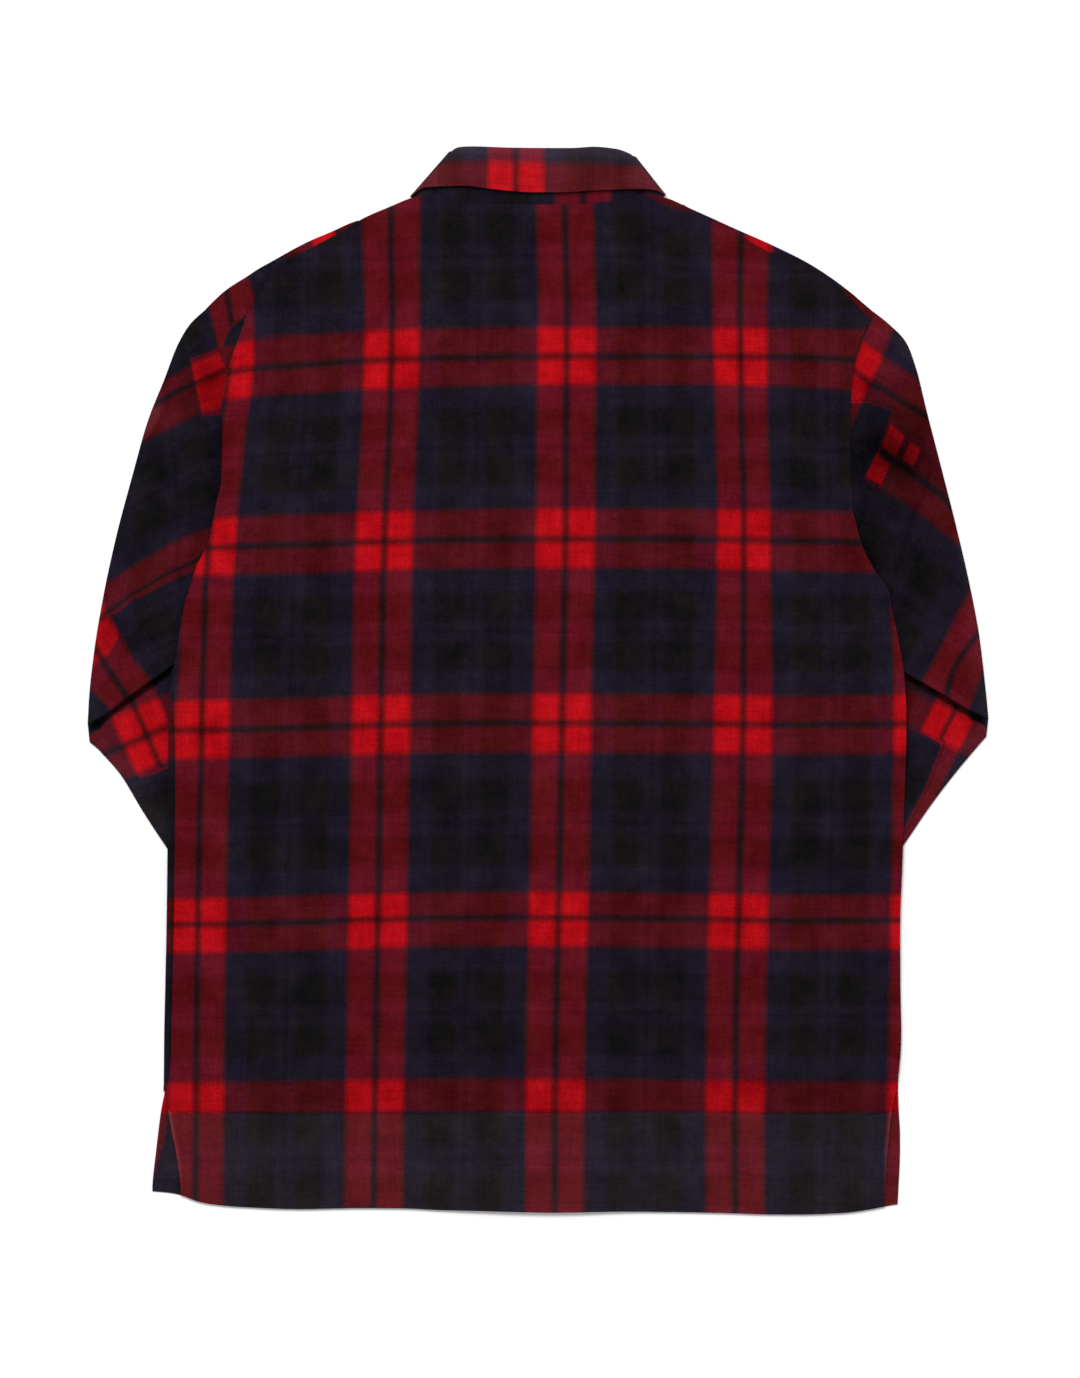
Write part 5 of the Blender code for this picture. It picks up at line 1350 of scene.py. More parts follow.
def make_sleeve(side, material):
    """One sleeve, a flattened tube from the armhole over the elbow pleat to the cuff."""
    ribbon, normals, above, folded, puff, wear_and_painted_light = sleeve_top(side)
    x, y = ribbon[..., 0], ribbon[..., 1]
    upper = sleeve_check(side, x[:above + 1], y[:above + 1])
    lower = forearm_check(side, x[above + folded - 1:], y[above + folded - 1:])
    lower += np.round(np.mean(upper[-1] - lower[0], axis=0))
    share = smooth((np.arange(1, folded - 1)[:, None, None] / folded - 0.3) / 0.5)
    hidden = upper[-1:] * (1 - share) + lower[:1] * share
    check = np.concatenate([upper, hidden, lower])
    points = tube_shape(ribbon, normals, TUBE_HALF, puff)
    grid = ringed(numbered(*points.shape[:2])), tube_check(check, TUBE_HALF)
    wear_and_painted_light = np.hstack([wear_and_painted_light[:, ::-1], np.repeat(wear_and_painted_light[:, :1], EDGE_STEPS - 1, axis=1),
                      np.zeros((len(wear_and_painted_light), wear_and_painted_light.shape[1] + EDGE_STEPS - 1))])
    return shell(f"sleeve_{WORD[side]}_tube", points, [grid], material, CLOTH - 0.05, wear_and_painted_light)


def cuff_ribbon(side):
    """Middle plane of one cuff, straight from its seam to its end."""
    rows = cuff_rows(side)
    start, end = rows[0], rows[-1]
    return np.array([ribbon_row(start[0] + (end[0] - start[0]) * f,
                                start[1] + (end[1] - start[1]) * f)
                     for f in np.linspace(0.0, 1.0, CUFF_STEPS + 1)])


def make_cuff(side, material):
    """A stiffer band that carries on the forearm's tube, pressed thinner along its seams."""
    ribbon = cuff_ribbon(side)
    across = np.linspace(0.0, 1.0, ribbon.shape[1])[None, :]
    down = np.linspace(0.0, 1.0, len(ribbon))[:, None]
    check = np.stack([across * CUFF_WIDTH / WEFT_REPEAT + 0.0 * down,
                      down * CUFF_LENGTH / WARP_REPEAT + 0.0 * across], axis=-1)
    points = tube_shape(ribbon, np.zeros_like(ribbon) + UP, CUFF_HALF)
    grid = ringed(numbered(*points.shape[:2])), tube_check(check, CUFF_HALF)
    sewn = sum(np.exp(-((down - place) / 0.03) ** 2) for place in CUFF_SEAMS)
    thickness = np.repeat(CUFF_CLOTH - 0.2 * sewn, points.shape[1], axis=1)
    return shell(f"cuff_{WORD[side]}_band", points, [grid], material, thickness)


# ---------------------------------------------------------------- collar

def collar_path(gap, top_left, top_right):
    """Both edges of a flattened band round the neck, from the centre front round the left side,
    across the back and round the right side. Gives the foot line, the top line and the direction
    that points out of the collar. gap is the half opening in front, and top_left and top_right
    are where the top line turns at the sides."""
    neckline = curve(SHOULDERS, 2)
    back_neck = curve(SHOULDERS, 1)
    parts = []
    for side, corner in ((-1, top_left), (+1, top_right)):
        f = np.linspace(0.0, 1.0, COLLAR_FRONT + 1)
        foot_x = gap + (STAND_FOOT - gap) * f
        top_x = gap + (abs(corner[0]) - gap) * f
        rise = (top_x / abs(corner[0])) ** STAND_CURVE
        height = STAND_FRONT_TOP + (corner[1] - STAND_FRONT_TOP) * rise
        foot_y = neckline(side * foot_x) + NECK_GAP
        to_point = smooth((f - 0.9) / 0.1)
        foot_y = np.maximum(foot_y, 0.0) * (1 - to_point) + (NECK_POINT + SEAM / 2) * to_point
        foot = np.column_stack([side * foot_x, foot_y])
        top = np.column_stack([side * top_x, height])
        out = np.zeros((len(f), 3)) + DOWN
        angle = math.pi * np.arange(1, COLLAR_STEPS) / COLLAR_STEPS
        round_out = np.column_stack([0.5 * side * np.sin(angle), 0.0 * angle, -np.cos(angle)])
        foot = np.vstack([foot, np.repeat(foot[-1:], len(angle), axis=0)])
        top = np.vstack([top, np.repeat(top[-1:], len(angle), axis=0)])
        parts.append((foot, top, np.vstack([out, round_out])))
    f = np.linspace(0.0, 1.0, COLLAR_BACK + 1)
    foot_x = STAND_FOOT * (2 * f - 1)
    foot = np.column_stack([foot_x, back_neck(foot_x) + SEAM / 2])
    top_x = top_left[0] + (top_right[0] - top_left[0]) * f
    top = np.column_stack([top_x, 0.0 * f + top_left[1] + (top_right[1] - top_left[1]) * f])
    out = np.zeros((len(f), 3)) + UP
    left, right = parts
    return [np.vstack([a, b, c[::-1]]) for a, b, c in zip(left, (foot, top, out), right)]


def collar_sections():
    """Numbers of the first and last point of the collar's back along its path."""
    first = COLLAR_FRONT + COLLAR_STEPS
    return first, first + COLLAR_BACK


def make_stand(material):
    """Band round the neck, straight from its foot line to its top line, set off outwards from the
    collar's middle. Its left end lies under its right end at the centre front."""
    foot, top, out = collar_path(0.0, (-STAND_SIDE, STAND_TOP), (STAND_SIDE, STAND_TOP))
    foot_y = float(curve(SHOULDERS, 2)(STAND_OVERLAP)) + NECK_GAP
    top_y = STAND_FRONT_TOP + 1.0
    foot = np.vstack([[STAND_OVERLAP, foot_y], foot, [-STAND_OVERLAP, foot_y]])
    top = np.vstack([[STAND_OVERLAP, top_y], top, [-STAND_OVERLAP, top_y]])
    out = np.vstack([out[:1], out, out[-1:]])
    right = np.arange(len(foot)) > len(foot) // 2
    front = out[:, 2] < -0.99
    rows = []
    for f in np.linspace(0.0, 1.0, STAND_POINTS):
        place = foot + (top - foot) * f
        over_end = LAYER * smooth(1.0 - (place[:, 0] - CENTRE_ZONE) / STAND_END_RUN)
        z = MIDDLE + STAND_OFFSET * out[:, 2] + np.where(right & front, over_end, 0.0)
        rows.append(np.column_stack([place + STAND_OFFSET * out[:, :2], z]))
    grid = np.array(rows)
    x, y = grid[..., 0], grid[..., 1]
    shift, start, run = STAND_SHIFT
    warp = (x - STAND_STRIPE) / WARP_REPEAT + shift * smooth((start - x) / run)
    check = np.stack([warp, np.interp(x, *zip(*STAND_WEFT))], axis=-1)
    # Painted shadow of the leaf: the stand's outer face is darkened from a little below the leaf's
    # edge upwards, under the leaf.
    under = smooth((y - curve(LEAF_EDGE, 1)(x) + LEAF_SHADE) / STAND_SHADOW_RUN)
    under = under * (grid[..., 2] > MIDDLE)
    return shell("collar_stand_band", grid, [(numbered(*x.shape), check)], material,
                 wear_and_painted_light=-STAND_SHADOW * under)


def leaf_grid():
    """Middle surface of the leaf, rows from under its fold to its free edge. Each row is an even
    share of the way from the fold to the edge, which at the back bulges a little."""
    crest = curve(LEAF_CREST, 1)
    left, right = LEAF_CREST[0], LEAF_CREST[-1]
    _, top, out = collar_path(LEAF_OPENING, left, right)
    first, last = collar_sections()
    edge = np.zeros_like(top)
    number = np.arange(len(top))
    back = (number >= first) & (number <= last)
    share = (number[back] - first) / COLLAR_BACK
    top[back, 0] = left[0] + (right[0] - left[0]) * share
    top[back, 1] = crest(top[back, 0])
    edge[back, 0] = LEAF_EDGE[0][0] + (LEAF_EDGE[-1][0] - LEAF_EDGE[0][0]) * share
    edge[back, 1] = curve(LEAF_EDGE, 1)(edge[back, 0])
    for side, corner, turn_end, chosen in (
            (-1, left, LEAF_EDGE[0], number < first), (+1, right, LEAF_EDGE[-1], number > last)):
        f = np.clip((np.abs(top[:, 0]) - LEAF_OPENING) / (abs(corner[0]) - LEAF_OPENING), 0.0, 1.0)
        straight = np.column_stack([side * (POINT_ACROSS + (abs(turn_end[0]) - POINT_ACROSS) * f),
                                    POINT_HEIGHT + (turn_end[1] - POINT_HEIGHT) * f])
        edge[chosen] = straight[chosen]
    down = unit(edge - top)
    centre = top + down * (LEAF_FOLD + CLOTH / 2)
    rows = []
    for step in range(COLLAR_STEPS + 1):
        angle = math.pi * step / COLLAR_STEPS
        offset = STAND_OFFSET + LEAF_FOLD * (1 - math.cos(angle))
        place = centre - down * LEAF_FOLD * math.sin(angle) + out[:, :2] * offset
        rows.append(np.column_stack([place, MIDDLE + out[:, 2] * offset]))
    offset = STAND_OFFSET + 2 * LEAF_FOLD
    for f in np.linspace(0.0, 1.0, 29)[1:]:
        place = centre + (edge - centre) * f + out[:, :2] * offset * (1.0 - 0.6 * f)
        bulge = (0.5 * math.sin(math.pi * f) + LEAF_LIFT * f * f) * np.maximum(out[:, 2], 0.0)
        rows.append(np.column_stack([place, MIDDLE + out[:, 2] * offset + bulge]))
    return np.array(rows)


def make_leaf(material):
    """Collar leaf: it folds outwards in a half circle over the stand and comes down to its edge,
    pressed thinner along its stitching."""
    grid = leaf_grid()
    x, y = grid[..., 0], grid[..., 1]
    weft = LEAF_WEFT[0] + (through(LEAF_LINE, x) - y) * LEAF_WEFT[1]
    check = np.stack([(x - LEAF_STRIPE) / WARP_REPEAT, weft], axis=-1)
    first, last = collar_sections()
    check[:, :first, 1] -= POINT_SHIFT
    check[:, last + 1:, 1] -= POINT_SHIFT
    from_fold = np.linalg.norm(grid - grid[COLLAR_STEPS // 2], axis=2)
    wear_and_painted_light = LEAF_WEAR + FOLD_WEAR * np.exp(-(from_fold / FOLD_RUN) ** 2)
    wear_and_painted_light += TIP_WEAR * smooth((np.abs(x) - TIP_RUN[0]) / TIP_RUN[1])
    from_edge = np.linalg.norm(grid - grid[-1:], axis=2)
    more, start, run = LEAF_RIM
    thickness = CLOTH + more * smooth((start - from_edge) / run) - LEAF_GROOVE[0] * np.exp(
        -((from_edge - LEAF_SEAM) / LEAF_GROOVE[1]) ** 2)
    return shell("collar_leaf_cloth", grid, [(numbered(*x.shape), check)], material,
                 thickness, wear_and_painted_light)


# ---------------------------------------------------------------- buttons and threads

def make_button(name, x, y, low, thickness, faces_down, material):
    """A turned disc of four holes. Its height is a function of radius and angle: a raised round
    rim, a shallow dish, and four bell-shaped pits for the holes."""
    dish = np.linspace(0.0, BUTTON_RADIUS - 2 * BUTTON_BEVEL, 18)
    angle = np.linspace(0.0, math.pi, 9)
    round_radius = BUTTON_RADIUS - thickness / 2 + thickness / 2 * np.sin(angle) ** 0.8
    profile_r = np.concatenate([dish, round_radius, dish[::-1]])
    rim_top = thickness / 2 + thickness / 2 * np.cos(angle)
    face = thickness - BUTTON_BEVEL + 0.43 * smooth((dish - 3.3) / 1.1)
    profile_z = np.concatenate([face, rim_top, 0.15 * (1 - smooth((dish[::-1] - 3.0) / 1.2))])
    profile_r[0] = profile_r[-1] = 0.02
    around = 2 * math.pi * np.arange(BUTTON_SIDES) / BUTTON_SIDES
    r = profile_r[:, None] + 0.0 * around
    px, py = r * np.cos(around), r * np.sin(around)
    pits = np.zeros_like(px)
    for hole in range(4):
        hole_x = HOLE_PLACE * math.cos(math.pi * (hole + 0.5) / 2)
        hole_y = HOLE_PLACE * math.sin(math.pi * (hole + 0.5) / 2)
        pits += np.exp(-(((px - hole_x) ** 2 + (py - hole_y) ** 2) / HOLE_SIZE) ** 2)
    on_face = np.arange(len(r))[:, None] < len(dish)
    pz = profile_z[:, None] - np.where(on_face, HOLE_DEPTH * pits, 0.0)
    if faces_down:
        pz, px = thickness - pz, -px
    points = np.stack([x + px, y + py, low + pz], axis=-1).reshape(-1, 3)
    index = numbered(*r.shape)
    faces = np.vstack([cells(index), cells(index[:, [-1, 0]])])[:, ::-1].tolist()
    faces += [index[0].tolist(), index[-1][::-1].tolist()]
    return make_mesh(name, points, faces, material)


def buttons():
    """Name, place, height, thickness and way up of each button."""
    yield "button_stand", 0.0, STAND_BUTTON, 0.0, BUTTON_THICK, True
    for k in range(FRONT_BUTTONS):
        yield (f"button_front_{k + 1}", 0.0, FIRST_BUTTON - k * BUTTON_PITCH, 0.0,
               BUTTON_THICK, True)
    for side, word in WORD.items():
        x, y = cuff_button_place(side)
        yield (f"button_cuff_{word}", x, y, 2 * CUFF_HALF + CUFF_CLOTH + SEAM,
               CUFF_BUTTON_THICK, False)


def stitches(name, lines, material, pitch, thread):
    """A row of short threads along each line. A thread is a six-sided spindle: its radius is the
    thread's half thickness times the square root of the sine along it, and it bows up a little
    from the cloth, whose outward side the line gives."""
    middles, aheads, ups = [], [], []
    for points, outward in lines:
        points = np.asarray(points, dtype=float)
        run = run_of(points)
        count = max(int(run[-1] / pitch), 1)
        at = (np.arange(count) + 0.5) * run[-1] / count
        before, middle, after = (np.stack([np.interp(at + step, run, points[:, k])
                                           for k in range(3)], axis=1) for step in (-0.5, 0.0, 0.5))
        ahead = unit(after - before)
        up = np.zeros_like(middle) + outward
        middles.append(middle)
        aheads.append(ahead)
        ups.append(unit(up - ahead * np.sum(up * ahead, axis=1, keepdims=True)))
    middle, ahead, up = (np.concatenate(a)[:, None, None] for a in (middles, aheads, ups))
    aside = np.cross(ahead, up)
    rings = np.linspace(0.06, 0.94, 5)
    angle = 2 * math.pi * np.arange(6) / 6
    radius = (thread / 2 * np.sqrt(np.sin(math.pi * rings)))[None, :, None, None]
    length = ((rings - 0.5) * 0.72 * pitch)[None, :, None, None]
    bow = (thread * (0.30 * np.sin(math.pi * rings) - 0.05))[None, :, None, None]
    cos, sin = (f(angle)[None, None, :, None] for f in (np.cos, np.sin))
    points = middle + ahead * length + up * (bow + radius * cos) + aside * radius * sin
    one = numbered(len(rings), len(angle))
    shift = one.size * np.arange(len(points))[:, None]
    faces = (shift[..., None] + cells(ringed(one))[:, ::-1]).reshape(-1, 4).tolist()
    faces += (shift + one[0]).tolist() + (shift + one[-1][::-1]).tolist()
    return make_mesh(name, points.reshape(-1, 3), faces, material)


def row_line(grid, distance_in, reverse=False):
    """Line at a distance in from a grid's last row, or from its first if reversed."""
    rows = grid if reverse else grid[::-1]
    run = run_of(rows)
    return np.array([[np.interp(distance_in, run[:, j], rows[:, j, k]) for k in range(3)]
                     for j in range(rows.shape[1])])


def sewing_lines():
    """Lines of stitching: for each group, its lines and the way out of the cloth there."""
    grid, thickness = back_shape()
    grid[..., 2] += thickness / 2
    top_x = grid[-1, :, 0]

    def near_top(distance_in, start, end):
        """Line below the back's top edge, between two places across."""
        return row_line(grid, distance_in)[(top_x > start) & (top_x < end)], UP

    armholes = []
    for columns in (grid, grid[:, ::-1]):
        line = row_line(np.swapaxes(columns, 0, 1), ARMHOLE_SEAM, reverse=True)
        shown = (line[:, 1] > ARMHOLE_SEWN[0]) & (line[:, 1] < ARMHOLE_SEWN[1])
        armholes.append((line[shown], UP))
    groups = {"hem_stitches": [(row_line(grid, HEM_SEAM, reverse=True)[3:-3], UP)],
              "neck_stitches": [near_top(NECK_SEAM, 4.0 - STAND_FOOT, STAND_FOOT - 4.0)],
              "shoulder_stitches": [near_top(LEFT_SHOULDER_SEAM, FLAP_END - LEFT_SEAM_PAST,
                                             -NECK_SIDE),
                                    near_top(RIGHT_SHOULDER_SEAM, NECK_SIDE, RIGHT_SEAM_END)],
              "armhole_stitches": armholes}
    leaf = leaf_grid()
    first, last = collar_sections()
    edge = row_line(leaf, LEAF_SEAM)
    back_edge = edge[first:last + 1] + [0.0, 0.0, CLOTH / 2 - STITCH_SUNK]
    groups["collar_stitches"] = [(back_edge, UP),
                                 (edge[3:first - COLLAR_STEPS] - [0.0, 0.0, CLOTH / 2], DOWN),
                                 (edge[last + COLLAR_STEPS:-3] - [0.0, 0.0, CLOTH / 2], DOWN)]
    above, end, count = PLACKET_SEWN
    rise = np.linspace(curve(HEM, 1)(0.0) + above, end, count)
    groups["placket_stitches"] = [
        (np.column_stack([0.0 * rise + across, rise, PLACKET_LOW + STITCH_SUNK - sunk(rise)]), DOWN)
        for across in (-PLACKET_SEAM, PLACKET_SEAM)]
    face = CUFF_HALF + CUFF_CLOTH / 2 - STITCH_SUNK
    groups["cuff_stitches"] = [(cuff_ribbon(side)[row, 2:-2] + [0.0, 0.0, way[2] * face], way)
                               for side in WORD for row in CUFF_SEAM_ROWS for way in (UP, DOWN)]
    groups["button_threads"] = threads = []
    for _, x, y, low, thick, faces_down in buttons():
        face, way = ((low + THREAD_SUNK, DOWN) if faces_down else
                     (low + thick - THREAD_SUNK, UP))
        for across in (-THREAD_ACROSS, THREAD_ACROSS):
            threads.append(([(x + across, y - THREAD_HALF, face),
                             (x + across, y + THREAD_HALF, face)], way))
    return groups


# ---------------------------------------------------------------- materials

def add(tree, kind, **values):
    """A new node with its settings. Names that are sockets get a default value or a link."""
    node = tree.nodes.new(kind)
    for name, value in values.items():
        if name.startswith("in_"):
            key = name[3:]
            socket = node.inputs[int(key)] if key.isdigit() else node.inputs[key.replace("_", " ")]
            if isinstance(value, bpy.types.NodeSocket):
                tree.links.new(value, socket)
            else:
                socket.default_value = value
        else:
            setattr(node, name, value)
    return node


def maths(tree, operation, first, second=0.0, third=0.0):
    """A number worked out from others."""
    return add(tree, "ShaderNodeMath", operation=operation, in_0=first, in_1=second,
               in_2=third).outputs[0]


def vectors(tree, operation, first, **second):
    """A vector or colour worked out from others."""
    return add(tree, "ShaderNodeVectorMath", operation=operation, in_0=first, **second).outputs[0]


def noise(tree, place, scale, detail, **more):
    """Soft noise at a place, around a half."""
    return add(tree, "ShaderNodeTexNoise", **more, in_Vector=place, in_Scale=scale,
               in_Detail=detail).outputs[0]


def blended(tree, share, first, second):
    """Colour between two, by share."""
    node = add(tree, "ShaderNodeMix", data_type="RGBA", in_0=share)
    for socket, value in ((node.inputs[6], first), (node.inputs[7], second)):
        if isinstance(value, bpy.types.NodeSocket):
            tree.links.new(value, socket)
        else:
            socket.default_value = (*value, 1.0)
    return node.outputs[2]


def group(name, inputs, outputs):
    """An empty node group with named sockets."""
    tree = bpy.data.node_groups.new(name, "ShaderNodeTree")
    for label, kind, default in inputs:
        socket = tree.interface.new_socket(name=label, in_out="INPUT", socket_type=kind)
        if default is not None:
            socket.default_value = default
    for label, kind in outputs:
        tree.interface.new_socket(name=label, in_out="OUTPUT", socket_type=kind)
    return tree, tree.nodes.new("NodeGroupInput"), tree.nodes.new("NodeGroupOutput")


def yarn_band(tree, count):
    """Redness and navy of the yarns at a count of repeats: the distance to the nearest middle of
    a red stripe, looked up in the sett."""
    folded = maths(tree, "MULTIPLY", maths(tree, "PINGPONG", count, 0.5), 2.0)
    ramp = add(tree, "ShaderNodeValToRGB", in_0=folded)
    stops = ramp.color_ramp.elements
    for place, redness, navy in SETT[1:-1]:
        stops.new(place / SETT_HALF)
    for stop, (place, redness, navy) in zip(stops, SETT):
        stop.position = place / SETT_HALF
        stop.color = (redness, navy, 0.0, 1.0)
    split = add(tree, "ShaderNodeSeparateColor", in_0=ramp.outputs[0])
    return split.outputs[0], split.outputs[1]


def check_group():
    """Colour of a two-way check: each yarn set has its bands, red over red is bright, red over
    dark is wine, and dark over dark is between black and navy. Past one weft count it skips on
    by a part of a repeat."""
    colour, number = "NodeSocketColor", "NodeSocketFloat"
    tree, start, end = group("flannel check", [
        ("Warp", number, 0.0), ("Weft", number, 0.0), ("Skip at", number, 4.0),
        ("Skip by", number, 0.283), ("Black", colour, None), ("Navy", colour, None),
        ("Wine", colour, None), ("Wine weft", colour, None), ("Red", colour, None)],
        [("Color", colour)])
    into = {socket.name: socket for socket in start.outputs}
    past = maths(tree, "GREATER_THAN", into["Weft"], into["Skip at"])
    weft = maths(tree, "MULTIPLY_ADD", past, into["Skip by"], into["Weft"])
    warp_red, warp_navy = yarn_band(tree, into["Warp"])
    weft_red, weft_navy = yarn_band(tree, weft)
    navy = maths(tree, "MULTIPLY", maths(tree, "ADD", warp_navy, weft_navy), 0.5)
    dark = blended(tree, navy, into["Black"], into["Navy"])
    wines = [blended(tree, other, into[name],
                     vectors(tree, "MULTIPLY", into[name], in_1=(1.22, 1.24, 1.9)))
             for name, other in (("Wine", weft_navy), ("Wine weft", warp_navy))]
    over_dark = blended(tree, warp_red, dark, wines[0])
    over_red = blended(tree, warp_red, wines[1], into["Red"])
    tree.links.new(blended(tree, weft_red, over_dark, over_red), end.inputs["Color"])
    return tree


def brushed_group():
    """Surface of brushed twill: diagonal lines, uneven yarns both ways, and a soft nap."""
    number, vector = "NodeSocketFloat", "NodeSocketVector"
    tree, start, end = group("brushed twill", [
        ("Weave", vector, None), ("Place", vector, None), ("Lines", number, 128.0),
        ("Nap", number, 0.32)],
        [("Tone", number), ("Lint", number), ("Height", number), ("Wander warp", number),
         ("Wander weft", number)])
    into = {socket.name: socket for socket in start.outputs}
    place = add(tree, "ShaderNodeSeparateXYZ", in_0=into["Weave"])
    warp, weft = place.outputs[0], place.outputs[1]
    diagonal = maths(tree, "MULTIPLY", maths(tree, "ADD", warp, weft), into["Lines"])
    twill = maths(tree, "SINE", maths(tree, "MULTIPLY", diagonal, 2 * math.pi))
    yarns = []
    for across, down in ((68.0, 5.0), (5.0, 68.0)):
        at = add(tree, "ShaderNodeCombineXYZ", in_0=maths(tree, "MULTIPLY", warp, across),
                 in_1=maths(tree, "MULTIPLY", weft, down)).outputs[0]
        yarns.append(noise(tree, at, 1.0, 1.0, noise_dimensions="2D"))
    fluff = noise(tree, into["Place"], 520.0, 3.0, in_Roughness=0.6)
    cloud = noise(tree, into["Place"], 42.0, 4.0, in_Roughness=0.62)
    yarn = maths(tree, "SUBTRACT", maths(tree, "ADD", yarns[0], yarns[1]), 1.0)
    fuzz = maths(tree, "SUBTRACT", fluff, 0.5)
    soft = maths(tree, "SUBTRACT", cloud, 0.5)
    uneven = maths(tree, "ADD", maths(tree, "MULTIPLY", yarn, 1.2),
                   maths(tree, "ADD", maths(tree, "MULTIPLY", fuzz, 2.2),
                         maths(tree, "MULTIPLY", soft, 2.6)))
    tone = maths(tree, "MULTIPLY_ADD", maths(tree, "MULTIPLY_ADD", twill, 0.35, uneven),
                 into["Nap"], 1.0)
    height = maths(tree, "ADD", maths(tree, "MULTIPLY", twill, 0.30),
                   maths(tree, "ADD", yarn, fuzz))
    tree.links.new(tone, end.inputs["Tone"])
    tree.links.new(maths(tree, "ADD", soft, maths(tree, "MULTIPLY", fuzz, 0.5)),
                   end.inputs["Lint"])
    tree.links.new(height, end.inputs["Height"])
    for label, offset in (("Wander warp", 0.0), ("Wander weft", 3.7)):
        moved = vectors(tree, "ADD", into["Place"], in_1=(offset, offset, offset))
        wander = noise(tree, moved, 700.0, 1.0)
        tree.links.new(maths(tree, "SUBTRACT", wander, 0.5), end.inputs[label])
    return tree


def new_material(name):
    """A new material, its node tree, its shader, and the place on the object for its textures."""
    material = bpy.data.materials.new(name)
    material.use_nodes = True
    tree = material.node_tree
    place = add(tree, "ShaderNodeTexCoord").outputs["Object"]
    return material, tree, tree.nodes["Principled BSDF"], place


def flannel(name):
    """Brushed flannel with the check, from the piece's own weave map."""
    cloth = bpy.context.scene.flannel_cloth
    check = bpy.data.node_groups.get("flannel check") or check_group()
    brushed = bpy.data.node_groups.get("brushed twill") or brushed_group()
    material, tree, shader, place = new_material(name)
    weave = add(tree, "ShaderNodeUVMap", uv_map="weave").outputs[0]
    twill = add(tree, "ShaderNodeGroup", node_tree=brushed, in_Weave=weave, in_Place=place,
                in_Lines=WARP_REPEAT * MM / cloth.twill_pitch / math.sqrt(2.0),
                in_Nap=cloth.nap)
    split = add(tree, "ShaderNodeSeparateXYZ", in_0=weave)
    counts = [maths(tree, "MULTIPLY_ADD", twill.outputs[f"Wander {yarns}"], WANDER,
                    split.outputs[k]) for k, yarns in enumerate(("warp", "weft"))]
    yarn_colours = {f"in_{name.capitalize()}": (*getattr(cloth, name), 1.0)
                    for name in ("black", "navy", "wine", "wine_weft", "red")}
    pattern = add(tree, "ShaderNodeGroup", node_tree=check, in_Warp=counts[0],
                  in_Weft=counts[1], **yarn_colours)
    # The point attribute below 0 is painted shade, which darkens the cloth. Above 0 it lightens the
    # cloth and adds the pale nap: real rubbing at the hem and on the collar's leaf, painted sheen
    # along the sleeves' outer folds, a painted highlight along the vents' edges, and a few paler
    # streaks on the sleeves.
    wear_and_painted_light = add(tree, "ShaderNodeAttribute", attribute_name="wear_and_painted_light").outputs["Fac"]
    rubbed_and_sheen = maths(tree, "MULTIPLY_ADD", twill.outputs["Lint"], cloth.lint,
                   maths(tree, "MAXIMUM", wear_and_painted_light, 0.0))
    strength = maths(tree, "MULTIPLY_ADD", rubbed_and_sheen, 12.0,
                     maths(tree, "ADD", maths(tree, "MINIMUM", wear_and_painted_light, 0.0), 1.0))
    level = maths(tree, "MULTIPLY", twill.outputs["Tone"], strength)
    shaded = vectors(tree, "SCALE", pattern.outputs["Color"], in_Scale=level)
    fluff = vectors(tree, "SCALE", tuple(cloth.pale),
                    in_Scale=maths(tree, "MULTIPLY", rubbed_and_sheen, twill.outputs["Tone"]))
    shaded = vectors(tree, "ADD", shaded, in_1=fluff)
    bump = add(tree, "ShaderNodeBump", in_Strength=0.5, in_Distance=0.00018,
               in_Height=twill.outputs["Height"]).outputs[0]
    tree.links.new(shaded, shader.inputs["Base Color"])
    tree.links.new(bump, shader.inputs["Normal"])
    shader.inputs["Roughness"].default_value = cloth.roughness
    shader.inputs["Specular IOR Level"].default_value = 0.02
    shader.inputs["Sheen Weight"].default_value = 0.015
    shader.inputs["Sheen Roughness"].default_value = 0.5
    return material


def thread_finish():
    """Twisted sewing thread: fine bands along it."""
    colour = bpy.context.scene.shirt_sewing.thread_colour
    material, tree, shader, place = new_material("sewing_thread")
    twist = add(tree, "ShaderNodeTexWave", wave_type="BANDS", bands_direction="DIAGONAL",
                in_Vector=place, in_Scale=900.0, in_Distortion=2.0).outputs["Fac"]
    level = maths(tree, "MULTIPLY_ADD", twist, 0.5, 0.75)
    shaded = vectors(tree, "SCALE", tuple(colour), in_Scale=level)
    tree.links.new(shaded, shader.inputs["Base Color"])
    shader.inputs["Roughness"].default_value = 0.7
    shader.inputs["Specular IOR Level"].default_value = 0.1
    return material


def resin():
    """Turned resin with soft darker clouds and fine polishing marks."""
    colour = bpy.context.scene.shirt_sewing.button_colour
    material, tree, shader, place = new_material("button_resin")
    cloud = noise(tree, place, 260.0, 4.0, in_Distortion=1.2)
    level = maths(tree, "MULTIPLY_ADD", cloud, 1.4, 0.3)
    shaded = vectors(tree, "SCALE", tuple(colour), in_Scale=level)
    marks = noise(tree, place, 2400.0, 2.0)
    tree.links.new(shaded, shader.inputs["Base Color"])
    tree.links.new(maths(tree, "MULTIPLY_ADD", marks, 0.2, 0.25), shader.inputs["Roughness"])
    return material


# ---------------------------------------------------------------- pieces


def fit(node, make, *side):
    """Makes a sewn piece in its own flannel, named after its node, and puts it in place of the
    node: it rides on the root, and the node is hidden."""
    piece = make(*side, flannel(f"{node}_flannel"))
    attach(piece, "root")
    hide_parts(node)


class SHIRT_OT_back(bpy.types.Operator):
    """Makes the back panel"""
    bl_idname = "shirt.back"
    bl_label = "Back"

    def execute(self, context):
        fit("back", make_back)
        return {"FINISHED"}


